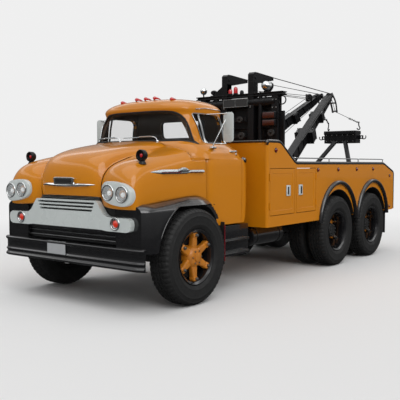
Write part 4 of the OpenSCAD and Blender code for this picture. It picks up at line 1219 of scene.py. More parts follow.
def ropeOf(bm, points, radius, sides=10, closed=False):
    # a tube of one radius, or a pair of half widths, along a line of points
    flat = radius if isinstance(radius, (list, tuple)) else (radius, radius)
    points = [Vector(p) for p in points]
    count = len(points)
    rings = []
    lastUp = None
    for k, here in enumerate(points):
        ahead = points[(k + 1) % count] if closed or k < count - 1 else here
        behind = points[k - 1] if closed or k > 0 else here
        along = (ahead - behind).normalized()
        up = lastUp or (Vector((0, 0, 1)) if abs(along.z) < 0.9 else Vector((1, 0, 0)))
        across = along.cross(up).normalized()
        up = across.cross(along).normalized()
        lastUp = up
        rings.append([bm.verts.new(here + across * flat[0] * math.cos(2 * math.pi * i / sides)
                                   + up * flat[1] * math.sin(2 * math.pi * i / sides)) for i in range(sides)])
    pairs = list(zip(rings, rings[1:])) + ([(rings[-1], rings[0])] if closed else [])
    for low, high in pairs:
        for i in range(sides):
            j = (i + 1) % sides
            bm.faces.new((low[i], low[j], high[j], high[i]))
    if not closed:
        bm.faces.new(rings[0][::-1])
        bm.faces.new(rings[-1])
    return bm


def denser(points, gap, closed=True):
    made = []
    count = len(points)
    for k in range(count if closed else count - 1):
        here, there = Vector(points[k]), Vector(points[(k + 1) % count])
        parts = max(1, round((there - here).length / gap))
        made += [tuple(here + (there - here) * i / parts) for i in range(parts)]
    if not closed:
        made.append(tuple(points[-1]))
    return made


def tintCab(piece):
    # inside of the cab darkened to a dark brown as painted shade, wheel arches in black
    mesh = piece.data
    mesh.materials.append(finish["cabTrim"])
    mesh.materials.append(finish["mattBlack"])
    for face in mesh.polygons:
        x, y, z = face.center
        y += leadOfAxle
        half, nose, tail, square = between(cab["outside"], min(max(z, 0.82), 2.335))
        lean = abs(x / half) ** square + abs((y - (nose + tail) / 2) / ((tail - nose) / 2)) ** square
        reach = lean ** (1 / square)
        # faces inside the cab take the dark brown of painted shade
        if reach < 0.972 and 0.90 < z < 2.295 and lean < 0.97:
            face.material_index = 1
        if abs(x) > 0.49 and y < 0.75 and math.hypot(y, z - 0.53) < 0.705:
            face.material_index = 2
        if z < 0.90:
            face.material_index = 2 if abs(face.normal.z) > 0.5 else 0


def glassSheet(outline, place, thick):
    # a curved pane inside an outline; place(a, b, depth) gives a point
    bm = bmesh.new()
    middle = Vector((sum(p[0] for p in outline) / len(outline), sum(p[1] for p in outline) / len(outline)))
    rings = steps(0.0, 1.0, 10)
    for depth, order in ((0, 1), (thick, -1)):
        loops = []
        for share in rings[1:]:
            loops.append([bm.verts.new(place(*(middle + (Vector(p) - middle) * share), depth)) for p in outline])
        centre = bm.verts.new(place(*middle, depth))
        count = len(outline)
        for i in range(count):
            j = (i + 1) % count
            bm.faces.new((centre, loops[0][i], loops[0][j])[::order])
            for low, high in zip(loops, loops[1:]):
                bm.faces.new((low[i], high[i], high[j], low[j])[::order])
        if depth == 0:
            outer = loops[-1]
        else:
            for i in range(count):
                j = (i + 1) % count
                bm.faces.new((outer[i], loops[-1][i], loops[-1][j], outer[j]))
    bmesh.ops.remove_doubles(bm, verts=bm.verts, dist=0.000001)
    return bm


def makeCabGlass():
    side = denser(roundedCorners(cab["sideGlass"], cab["sideGlassCorners"], 5), 0.05)

    def onDoor(y, z, depth):
        return at(cabSide(z, y, -0.015) - depth, y, z)
    pane = glassSheet(side, onDoor, 0.005)
    other = mirrored(pane)
    addPiece("leftDoorGlass", pane, "glass", "left_cab_door", "glass", ["left_door_glass"], crease=40)
    addPiece("rightDoorGlass", other, "glass", "right_cab_door", "glass", ["right_door_glass"], crease=40)
    # the windshield wraps round the front, drawn by its height and place across
    half, rise, middle = cab["rearGlass"]
    rearPane = denser(roundedCorners([(-half, middle - rise), (half, middle - rise), (half, middle + rise),
                                      (-half, middle + rise)], 0.06, 5), 0.06)

    def onRear(x, z, depth):
        return at(x, cabEnd(x, z, True, -0.015) - depth, z)
    glass = glassSheet(rearPane, onRear, 0.005)
    shield = bmesh.new()
    low, high = 1.767, 2.173

    def onFront(u, v, depth):
        z = low + (high - low) * v
        x, y = frontArc(z, 0.408 - 0.028 * v, 2 * u - 1, depth)
        return at(x, y, z)
    for depth in (0.014, 0.019):
        sheetOf(shield, 72, 10, lambda u, v: onFront(u, v, depth))
    rim = [e for e in shield.edges if e.is_boundary]
    bmesh.ops.bridge_loops(shield, edges=rim)
    joinInto(glass, shield)
    addPiece("windshieldAndRearGlass", glass, "glass", replaces=["cab_glass"], crease=40)


def frontArc(z, limit, share, inset):
    # a point on the cab's front, at a share of the way to where its side reaches y = limit
    half, nose, tail, square = between(cab["outside"], z)
    middle, length = (nose + tail) / 2, (tail - nose) / 2
    # the turn at which the ring's point reaches the limit, found by halving
    least, most = 0.0, math.pi / 2
    for k in range(24):
        turn = (least + most) / 2
        if middle - ringPoint(turn, half, length, square)[1] > limit:
            least = turn
        else:
            most = turn
    turn = math.pi / 2 - (math.pi / 2 - turn) * abs(share)
    x, y = ringPoint(turn, half - inset, length - inset, square)
    return math.copysign(x, share), middle - y


def shieldLimit(z):
    return 0.402 - 0.030 * (z - 1.766) / 0.406


def shieldEdge(share, top, inset):
    # a point on the windshield opening's top or bottom edge
    z = 2.168 if top else 1.808
    for k in range(5):
        x, y = frontArc(z, shieldLimit(z), share, inset)
        if top:
            z = 2.168 - (0.11 - math.sqrt(max(0.0, 0.0121 - max(0.0, y - 0.270) ** 2)))
        else:
            z = 1.810 - 0.042 * max(0.0, y - 0.290) / 0.112
    return at(x, y, z)


def makeWindowTrim():
    side = denser(roundedCorners(cab["sideGlass"], cab["sideGlassCorners"], 6), 0.03)
    line = [at(cabSide(z, y, 0.002), y, z) for y, z in side]
    bm = ropeOf(bmesh.new(), line, (0.013, 0.008), 8, closed=True)
    # the divider of the vent window
    divider = [at(cabSide(z, y, -0.006), y, z) for y, z in
               denser([(0.560, 2.132), (0.590, 1.785)], 0.03, False)]
    ropeOf(bm, divider, (0.015, 0.009), 8)
    other = mirrored(bm)
    addPiece("leftWindowTrim", bm, "chrome", "left_cab_door", "chrome")
    addPiece("rightWindowTrim", other, "chrome", "right_cab_door", "chrome")
    rubber = bmesh.new()
    shares = steps(-1, 1, 60)
    for top in (False, True):
        ropeOf(rubber, [shieldEdge(s, top, 0.004) for s in shares], (0.010, 0.013), 8)
    for sign in (-1, 1):
        line = [at(*frontArc(z, shieldLimit(z), sign, 0.004), z) for z in steps(1.768, 2.066, 8)]
        ropeOf(rubber, line, (0.011, 0.011), 8)
    half, rise, middle = cab["rearGlass"]
    back = denser(roundedCorners([(-half, middle - rise), (half, middle - rise), (half, middle + rise),
                                  (-half, middle + rise)], 0.06, 5), 0.06)
    ropeOf(rubber, [at(x, cabEnd(x, z, True, 0.0), z) for x, z in back], (0.012, 0.010), 8, closed=True)
    addPiece("windowRubbers", rubber, "mattBlack")
    bright = bmesh.new()
    # drip strips over the doors
    for sign in (-1, 1):
        strip = []
        for y, z in denser([(0.50, 2.185), (0.66, 2.204), (0.95, 2.200), (1.12, 2.180)], 0.04, False):
            strip.append(at(sign * (cabSide(z, y) + 0.006), y, z))
        ropeOf(bright, strip, (0.009, 0.006), 8)
    addPiece("roofTrim", bright, "chrome")


def makeWipers():
    bm = bmesh.new()
    for foot in (0.40, -0.20):
        ball(bm, at(foot, cabEnd(foot, 1.800) + 0.006, 1.803), 0.020, steps=14)
        ropeOf(bm, [at(foot + dx, cabEnd(foot + dx, z) - 0.014, z) for dx, z in
                    ((0, 1.806), (-0.01, 1.835), (-0.05, 1.856), (-0.12, 1.868), (-0.30, 1.866))], 0.0045, 6)
        ropeOf(bm, [at(foot - dx, cabEnd(foot - dx, 1.862) - 0.008,
                       1.862 - 0.01 * dx) for dx in steps(0.10, 0.56, 8)],
               0.0055, 6)
    addPiece("wipers", bm, "chrome")


def makeDoorFurniture():
    handle = bmesh.new()
    x = cabSide(1.69, 0.97)
    for y in (0.90, 1.03):
        ball(handle, at(x, y, 1.690), 0.014, (1.2, 1, 1), 14)
    ropeOf(handle, [at(x + 0.012, 0.895, 1.690), at(x + 0.026, 0.925, 1.691), at(x + 0.027, 1.000, 1.690),
                    at(x + 0.012, 1.042, 1.688)], (0.008, 0.011), 10)
    lathe(handle, [(-0.01, closedEnd), (-0.01, 0.016), (0.010, 0.015), (0.014, 0.008), (0.014, closedEnd)],
          at(cabSide(1.66, 1.0), 1.0, 1.655), (1, 0, 0.2), 20)
    mirror, arms = bmesh.new(), bmesh.new()
    outline = roundedCorners([(1.000, 1.795), (1.140, 1.795), (1.140, 2.143), (1.000, 2.143)], 0.045, 5)
    joinInto(mirror, crossPrism(outline, 0.682, 0.702))
    bmesh.ops.bevel(mirror, geom=[e for e in mirror.edges if abs(e.verts[0].co.y - e.verts[1].co.y) < 0.0001],
                    offset=0.006, segments=2, profile=0.5, affect="EDGES", material=-1)
    glassPane = crossPrism(roundedCorners([(1.010, 1.805), (1.130, 1.805), (1.130, 2.133), (1.010, 2.133)], 0.04, 5),
                           0.702, 0.704)
    ropeOf(arms, [at(0.955, 0.535, 1.740), at(1.030, 0.688, 2.06)], 0.0065, 10)
    ropeOf(arms, [at(0.745, 0.640, 2.128), at(1.055, 0.684, 2.128)], 0.0065, 10)
    joinInto(arms, crossPrismBox((0.925, 0.508, 1.716), (0.972, 0.60, 1.742)))
    for sideName, flip in (("left", False), ("right", True)):
        body = sideName + "_cab_door"
        pieces = [("Handle", handle, "chrome", "chrome", ()),
                  ("MirrorShell", mirror, "palePaint", "chrome", (sideName + "_mirror",)),
                  ("MirrorGlass", glassPane, "chrome", "chrome", ()), ("MirrorArms", arms, "chrome", "chrome", ())]
        for part, bm, look, slotName, replaced in pieces:
            addPiece(sideName + part, mirrored(bm) if flip else bm.copy(), look, body, slotName, list(replaced))
    cap = bmesh.new()
    lathe(cap, [(-0.02, closedEnd), (-0.02, 0.040), (0.004, 0.040), (0.008, 0.032), (0.022, 0.030), (0.026, 0.024),
                (0.027, closedEnd)], at(cabSide(1.585, 1.17) - 0.002, 1.17, 1.585), (1, 0.25, 0.1), 32)
    addPiece("fuelCap", cap, "lampBowl", slot="chrome")


def makeRoofLamps():
    shells, lenses = bmesh.new(), bmesh.new()
    for x in (-0.40, -0.15, 0, 0.15, 0.42):
        z = 2.322 - 0.10 * max(0, abs(x) - 0.15)
        ring = [(0.000, closedEnd), (0.000, 0.022), (0.030, 0.021), (0.080, 0.013), (0.108, 0.005), (0.110, closedEnd)]
        lathe(lenses, [(-0.020, closedEnd), (-0.018, 0.010), (-0.010, 0.018), (0.002, 0.023), (0.004, closedEnd)],
              at(x, 0.43, z + 0.020), (0, 1, 0), 24)
        lathe(lenses, ring, at(x, 0.43, z + 0.020), (0, 1, -0.06), 24)
        joinInto(shells, crossPrism(roundedCorners([(x - 0.022, z - 0.02), (x + 0.022, z - 0.02),
                                                    (x + 0.016, z + 0.01),
                                                    (x - 0.016, z + 0.01)], 0.006, 2), 0.43, 0.52))
    addPiece("roofLampLenses", lenses, "lensRed", replaces=["marker_lamps"])
    addPiece("roofLampFeet", shells, "chrome", bevel=0.003)


def makeCabInside():
    dash = crossPrism(roundedCorners([(-0.80, 1.50), (0.80, 1.50), (0.80, 1.70), (0.70, 1.745), (-0.70, 1.745),
                                      (-0.80, 1.70)], 0.04, 4), 0.44, 0.545)
    hood = boxOf((-0.62, 0.40, 1.70), (0.62, 0.46, 1.735))
    joinInto(dash, hood, boxOf((-0.25, 0.411, 1.50), (0.25, 0.45, 1.70)))
    # the dash is body paint, drawn in the dark brown of painted shade
    addPiece("dash", dash, "cabTrim", slot="body_paint", replaces=["dashboard"], bevel=0.012, segments=3)
    dials, faces = bmesh.new(), bmesh.new()
    for x in (0.30, 0.46):
        ringOf(dials, at(x, 0.547, 1.655), (0, 1, 0), 0.055, 0.006, 40, 8)
        lathe(faces, [(0, closedEnd), (0, 0.054), (0.004, 0.054), (0.004, closedEnd)], at(x, 0.543, 1.655), (0, 1, 0), 40)
    addPiece("dialRings", dials, "chrome")
    addPiece("dialFaces", faces, "plateBlank")
    wheel = bmesh.new()
    hub, axis = at(0.38, 0.69, 1.69), Vector((0, math.sin(math.radians(42)), math.cos(math.radians(42))))
    ringOf(wheel, hub, axis, 0.205, 0.0125, 96, 14)
    frameOf = turnTo(axis)
    for k in range(3):
        turn = math.radians(90 + 120 * k)
        tip = hub + frameOf.to_3x3() @ Vector((0.2 * math.cos(turn), 0.2 * math.sin(turn), 0.004))
        ropeOf(wheel, [hub + axis * 0.004, (hub + tip) / 2, tip], (0.012, 0.006), 10)
    lathe(wheel, [(-0.03, closedEnd), (-0.03, 0.03), (0.010, 0.036), (0.018, 0.028), (0.020, closedEnd)], hub, axis, 32)
    tube(wheel, at(0.38, 0.50, 1.52), hub - axis * 0.01, 0.022)
    addPiece("steeringWheel", wheel, "mattBlack", replaces=["steering_wheel"])
    base = boxOf((-0.76, 0.71, 0.932), (0.76, 1.09, 1.12))
    addPiece("seatBase", base, "mattBlack", bevel=0.01)


def cushionOf(name, low, high, lean, replaced):
    # a cushion is blown up a little as cloth, so that it bulges between its seams
    bm = boxOf(low, high)
    if lean:
        for v in bm.verts:
            if v.co.z > (low[2] + high[2]) / 2:
                v.co.y -= lean
    bmesh.ops.subdivide_edges(bm, edges=bm.edges[:], cuts=3, use_grid_fill=True)
    piece = addPiece(name, bm, "leather", slot="seat_cover", replaces=replaced, crease=180)
    remesh = piece.modifiers.new("net", "REMESH")
    remesh.mode = "VOXEL"
    remesh.voxel_size = 0.028
    applyAll(piece)
    start = [v.co.copy() for v in piece.data.vertices]
    cloth = piece.modifiers.new("cloth", "CLOTH")
    cloth.settings.use_pressure = True
    cloth.settings.uniform_pressure_force = 4
    cloth.settings.effector_weights.gravity = 0
    cloth.settings.tension_stiffness = 15
    cloth.point_cache.frame_start = 1
    cloth.point_cache.frame_end = 20
    for number in range(1, 21):
        scene.frame_set(number)
    applyAll(piece)
    scene.frame_set(1)
    for v, was in zip(piece.data.vertices, start):
        move = v.co - was
        if move.length > 0.022:
            v.co = was + move.normalized() * 0.022
    soft = piece.modifiers.new("soft", "SUBSURF")
    soft.levels = soft.render_levels = 1
    applyAll(piece)
    for face in piece.data.polygons:
        face.use_smooth = True


def applyAll(piece):
    seen = piece.evaluated_get(bpy.context.evaluated_depsgraph_get())
    mesh = bpy.data.meshes.new_from_object(seen)
    piece.modifiers.clear()
    piece.data = mesh


makeCabGlass()
makeWindowTrim()
makeWipers()
makeDoorFurniture()
makeRoofLamps()
makeCabInside()
cushionOf("benchSeat", (-0.79, 0.66, 1.15), (0.79, 1.13, 1.32), 0, ["bench_seat"])
cushionOf("benchBack", (-0.70, 1.075, 1.34), (0.70, 1.155, 1.74), 0.015, [])
for pieceName in ("cabShell", "leftDoor", "rightDoor"):
    tintCab(bpy.data.objects[pieceName])
print("cab details are made")


# wrecker body
bodySide = {
    "outline": [(1.43, 0.735), (1.43, 1.820), (1.75, 1.820), (2.157, 1.544), (5.27, 1.544), (5.73, 1.394),
                (5.73, 0.752),
                (5.67, 0.735)],
    "face": 1.15, "inner": 1.11, "doors": [(1.49, 2.14, 1.488), (2.18, 2.74, 2.742)], "doorHeights": (0.876, 1.487),
    "hingeLine": 1.154, "hingeHeights": (0.96, 1.33), "archCentre": 0.56, "archRadius": 0.60,
    "markers": [(1.630, 1.717, 0.026), (2.80, 1.46, 0.024), (3.46, 1.46, 0.024), (4.13, 1.46, 0.024),
                (4.79, 1.46, 0.024),
                (5.53, 1.339, 0.020), (5.54, 0.797, 0.020)],
    "latches": [(1.955, 1.19, "front"), (2.287, 1.19, "rear")],
}


def doorPrism(y0, y1, gap, low, high):
    z0, z1 = bodySide["doorHeights"]
    return sidePrism(roundedCorners([(y0 + gap, z0 + gap), (y1 - gap, z0 + gap), (y1 - gap, z1 - gap),
                                     (y0 + gap, z1 - gap)], 0.018, 4), low, high)


def makeSides():
    inner, face = bodySide["inner"], bodySide["face"]
    panel = sidePrism(bodySide["outline"], inner, face)
    front = [e for e in panel.edges
             if all(abs(v.co.y - (1.43 - leadOfAxle)) < 0.0001 and v.co.x > 1.14 for v in e.verts)]
    bmesh.ops.bevel(panel, geom=front, offset=0.034, segments=6, profile=0.5, affect="EDGES", material=-1)
    cutters = []
    for y in (3.48, 4.78):
        cutters.append(("DIFFERENCE", wheelDrum(bodySide["archRadius"], 0.9, 1.3, y, bodySide["archCentre"])))
    for y0, y1, hinge in bodySide["doors"]:
        cutters.append(("DIFFERENCE", doorPrism(y0, y1, 0, 1.0, 1.3)))
        for z in bodySide["hingeHeights"]:
            notch = bmesh.new()
            tube(notch, at(bodySide["hingeLine"], hinge, z - 0.006), at(bodySide["hingeLine"], hinge, z + 0.086),
                 0.018)
            cutters.append(("DIFFERENCE", notch))
    panel = carve(panel, cutters)
    addPiece("bodySides", bothSides(panel), "bodyPaint", replaces=["body_sides"], bevel=0.002,
             segments=2)
    for place, (y0, y1, hinge) in zip(("Front", "Rear"), bodySide["doors"]):
        door = doorPrism(y0, y1, 0.007, inner + 0.006, face)
        press = doorPrism(y0, y1, 0.065, face - 0.004, face + 0.05)
        door = carve(door, [("DIFFERENCE", press)])
        bmesh.ops.recalc_face_normals(door, faces=door.faces)
        knuckles = bmesh.new()
        for z in bodySide["hingeHeights"]:
            tube(knuckles, at(bodySide["hingeLine"], hinge, z), at(bodySide["hingeLine"], hinge, z + 0.08), 0.012)
        for sideName, flip in (("left", False), ("right", True)):
            body = sideName + "_" + place.lower() + "_locker_lid"
            addPiece(sideName + place + "Locker", mirrored(door) if flip else door.copy(), "bodyPaint", body,
                     "body_paint",
                     [body.replace("_lid", "_door")], bevel=0.003)
            addPiece(sideName + place + "Knuckles", mirrored(knuckles) if flip else knuckles.copy(), "bodyPaint",
                     body,
                     "body_paint", bevel=0.001)


def makeEdgeTrim():
    # a black half-round moulding along the top of each side
    bm = bmesh.new()
    line = roundedCorners([(1.436, 1.70), (1.436, 1.826), (1.752, 1.826), (2.160, 1.550), (5.272, 1.550),
                           (5.736, 1.398),
                           (5.736, 0.745)], [0, 0.05, 0.06, 0.06, 0.05, 0.05, 0], 6)[1:]
    line = [(1.436, 1.80)] + [p for p in line if p[0] > 1.4365 or p[1] > 1.80]
    for sign in (-1, 1):
        ropeOf(bm, [at(sign * 1.131, y, z) for y, z in denser(line, 0.12, False)], (0.027, 0.024), 16)
    # the moulding goes across between the tops of the front lockers
    ropeOf(bm, [at(x, 1.436, 1.826) for x in steps(-1.12, 1.12, 24)], (0.016, 0.016), 12)
    addPiece("edgeTrim", bm, "blackPaint", crease=50)


def makeFlares():
    bm = bmesh.new()
    section = []
    for k in range(14):
        turn = math.pi * k / 13
        section.append((0.572 + 0.069 * (1 - math.cos(turn)) / 2, 1.150 + 0.048 * max(0.0, math.sin(turn)) ** 0.75))
    section += [(0.638, 1.142), (0.575, 1.142)]
    for y in (3.48, 4.78):
        low = math.degrees(math.acos(0.06))

        def place(turnIndex, r, x):
            turn = math.radians(-low + 2 * low * turnIndex / 72)
            return at(x, y + r * math.sin(turn), 0.655 + r * math.cos(turn))
        joinInto(bm, swept(section, list(range(73)), place))
    addPiece("archFlares", bothSides(bm), "blackPaint", replaces=["arch_flares"], crease=60)
    liner = bmesh.new()
    for y in (3.48, 4.78):
        shell = wheelDrum(0.598, 0.60, 1.148, y, bodySide["archCentre"])
        inside = wheelDrum(0.590, 0.50, 1.30, y, bodySide["archCentre"])
        joinInto(liner, carve(shell, [("DIFFERENCE", inside),
                                      ("INTERSECT", boxOf((0.5, y - 0.645, 0.75), (1.3, y + 0.645, 1.245)))]))
    addPiece("archLiners", bothSides(liner), "mattBlack", slot="black_paint", crease=40)


def makeMarkers():
    lenses, rims = bmesh.new(), bmesh.new()
    for y, z, r in bodySide["markers"]:
        for side in (-1, 1):
            centre = at(side * 1.150, y, z)
            lathe(lenses, [(0.0, closedEnd), (0.0, r), (0.008, r), (0.016, r * 0.8), (0.022, r * 0.4), (0.023, closedEnd)],
                  centre, (side, 0, 0), 28)
            ringOf(rims, centre + Vector((side * 0.004, 0, 0)), (side, 0, 0), r + 0.003, 0.004, 28, 8)
    addPiece("sideMarkers", lenses, "lensDark")
    addPiece("markerRims", rims, "blackPaint")
    for y, z, place in bodySide["latches"]:
        shell, slotPiece = bmesh.new(), bmesh.new()
        joinInto(shell, crossPrismBox((1.146, y - 0.052, z - 0.072), (1.162, y + 0.052, z + 0.072)))
        dark = -0.012 if place == "front" else 0.008
        joinInto(slotPiece, boxOf((1.158, y + dark - 0.018, z - 0.050), (1.1635, y + dark + 0.018, z + 0.050)))
        grip = boxOf((1.160, y + dark - 0.006, z - 0.046), (1.170, y + dark + 0.006, z + 0.046))
        for sideName, flip in (("left", False), ("right", True)):
            body = sideName + "_" + place + "_locker_lid"
            title = sideName + place.capitalize()
            addPiece(title + "Latch", mirrored(shell) if flip else shell.copy(), "palePaint", body, "chrome")
            addPiece(title + "LatchPan", mirrored(slotPiece) if flip else slotPiece.copy(), "mattBlack", body,
                     "matte_black")
            addPiece(title + "LatchGrip", mirrored(grip) if flip else grip.copy(), "satinSteel", body, "chrome",
                     bevel=0.002)


def makeDeck():
    bm = bmesh.new()
    block(bm, at(-1.108, 2.18, 1.3005), at(1.108, 5.68, 1.304))
    for k in range(34):
        y = 2.30 + 0.098 * k
        for x0, x1 in ((-1.05, -0.66), (0.66, 1.05)) if 2.3 < y < 3.2 else ((-1.05, 1.05),):
            block(bm, at(x0, y, 1.303), at(x1, y + 0.014, 1.3085))
    addPiece("deckPlates", bm, "deckSteel", slot="chassis_black", bevel=0.001)
    rails = bmesh.new()
    for side in (-1, 1):
        ropeOf(rails, [at(side * 1.130, y, 1.622) for y in steps(2.09, 5.27, 20)], 0.008, 8)
        for y in (2.167, 3.19, 4.23, 5.255):
            tube(rails, at(side * 1.130, y, 1.545), at(side * 1.130, y, 1.622), 0.007, steps=10)
            ball(rails, at(side * 1.130, y, 1.622), 0.013, steps=12)
        ball(rails, at(side * 1.130, 2.09, 1.622), 0.016, steps=12)
    addPiece("deckRails", rails, "chrome", replaces=["deck_rails"])
    tail, lamps, rims, plateBm = bmesh.new(), bmesh.new(), bmesh.new(), bmesh.new()
    for side in (-1, 1):
        for x, z in ((0.98, 1.20), (0.98, 1.05), (0.80, 1.05)):
            centre = at(side * x, 5.728, z)
            lathe(lamps, [(0, closedEnd), (0, 0.045), (0.010, 0.045), (0.020, 0.034), (0.024, closedEnd)], centre,
                  (0, 1, 0), 32)
            ringOf(rims, centre + Vector((0, 0.004, 0)), (0, 1, 0), 0.048, 0.006, 32, 8)
        tube(tail, at(side * 0.30, 5.735, 0.84), at(side * 0.30, 5.81, 0.84), 0.018, steps=12)
        ringOf(tail, at(side * 0.30, 5.83, 0.815), (1, 0, 0), 0.036, 0.010, 32, 10)
    joinInto(plateBm, boxOf((-0.155, 5.731, 0.98), (0.155, 5.737, 1.10)))
    block(tail, at(-1.12, 5.728, 0.76), at(1.12, 5.742, 0.80))
    block(tail, at(-1.12, 5.728, 1.27), at(1.12, 5.742, 1.31))
    addPiece("tailLamps", lamps, "lensRed")
    addPiece("tailLampRims", rims, "chrome")
    addPiece("tailPlate", plateBm, "plateBlank", bevel=0.002)
    addPiece("tailHardware", tail, "blackPaint", bevel=0.003)


def makeUnderside():
    flap = bmesh.new()
    block(flap, at(0.66, 0.652, 0.36), at(1.04, 0.664, 0.86))
    block(flap, at(0.70, 5.36, 0.34), at(1.15, 5.372, 0.76))
    addPiece("mudflaps", bothSides(flap), "mattBlack", bevel=0.003)
    piping = boxOf((1.040, 0.650, 0.40), (1.047, 0.666, 0.82))
    addPiece("flapEdges", bothSides(piping), "lensDark")
    box, pale, straps = bmesh.new(), bmesh.new(), bmesh.new()
    joinInto(box, crossPrismBox((0.45, 0.69, 0.43), (0.96, 1.29, 0.80)))
    joinInto(box, crossPrismBox((0.955, 0.72, 0.430), (1.005, 1.26, 0.470)))
    joinInto(box, crossPrismBox((0.955, 0.72, 0.600), (1.000, 1.26, 0.625)))
    block(pale, at(0.962, 0.73, 0.626), at(0.998, 1.25, 0.632))
    block(pale, at(0.962, 0.73, 0.471), at(1.002, 1.25, 0.477))
    lathe(box, [(0.0, closedEnd), (0.0, 0.100), (0.012, 0.120), (0.748, 0.120), (0.760, 0.100), (0.760, closedEnd)],
          at(0.80, 1.48, 0.590), (0, 1, 0), 48)
    for y in (1.56, 2.12):
        ringOf(straps, at(0.80, y + 0.02, 0.590), (0, 1, 0), 0.121, 0.006, 48, 8)
        block(straps, at(0.76, y, 0.60), at(0.84, y + 0.04, 0.735))
    block(straps, at(0.43, 0.80, 0.70), at(0.50, 1.18, 0.76))
    lathe(pale, [(0.0, closedEnd), (0.0, 0.035), (0.02, 0.035), (0.024, 0.028), (0.024, closedEnd)], at(0.80, 1.70, 0.705),
          (0, 0, 1), 28)
    addPiece("sideTanks", bothSides(box), "blackPaint", replaces=["side_tanks"], crease=40)
    addPiece("stepTreads", bothSides(pale), "satinSteel")
    addPiece("tankStraps", bothSides(straps), "chassisBlack", slot="chassis_black", bevel=0.002)


makeSides()
makeEdgeTrim()
makeFlares()
makeMarkers()
makeDeck()
makeUnderside()
print("wrecker body is made")


# crane
crane = {
    "mastY": 2.50, "post": 0.235, "postHalf": 0.05, "column": 0.64,
    "foot": (0.52, 2.96, 1.5), "turn": 10.2, "rise": 28.7, "length": 2.64,
    "ropeRadius": 0.0048, "blockAt": (-0.10, 4.86, 2.735),
}


def boomMatrix():
    return (Matrix.Translation(at(*crane["foot"])) @ Matrix.Rotation(math.radians(crane["turn"]), 4, "Z")
            @ Matrix.Rotation(math.radians(crane["rise"]), 4, "X"))


def onBoom(bm):
    # a shape drawn along +Y from the foot pin, raised and turned into its parked place
    bmesh.ops.transform(bm, matrix=boomMatrix(), verts=bm.verts)
    return bm


def boomPoint(x, along, up, side=1):
    point = boomMatrix() @ Vector((x, along, up))
    return Vector((side * point.x, point.y, point.z))


def boltRing(bm, points, axis, radius=0.011, height=0.009):
    for point in points:
        lathe(bm, [(0, closedEnd), (0, radius), (height, radius), (height, closedEnd)], point, axis, 6)


def sheave(bm, centre, axis, radius, half):
    lathe(bm, [(-half, 0.018), (-half, radius), (-half * 0.7, radius), (-half * 0.25, radius * 0.84),
               (half * 0.25, radius * 0.84), (half * 0.7, radius), (half, radius), (half, 0.018)], centre, axis, 40)


def channelPost(bm, x, half, low, high, deep):
    # a post of two channels, open at its sides, with tie plates
    y = crane["mastY"]
    for side in (-1, 1):
        block(bm, at(x - half, y + side * deep - 0.006, low), at(x + half, y + side * deep + 0.006, high))
    block(bm, at(x - half * 0.55, y - deep, low), at(x + half * 0.55, y + deep, high))
    count = max(2, round((high - low) / 0.24))
    for k in range(count):
        z = low + (high - low - 0.05) * k / (count - 1)
        block(bm, at(x - half + 0.003, y - deep + 0.001, z), at(x + half - 0.003, y + deep - 0.001, z + 0.012))


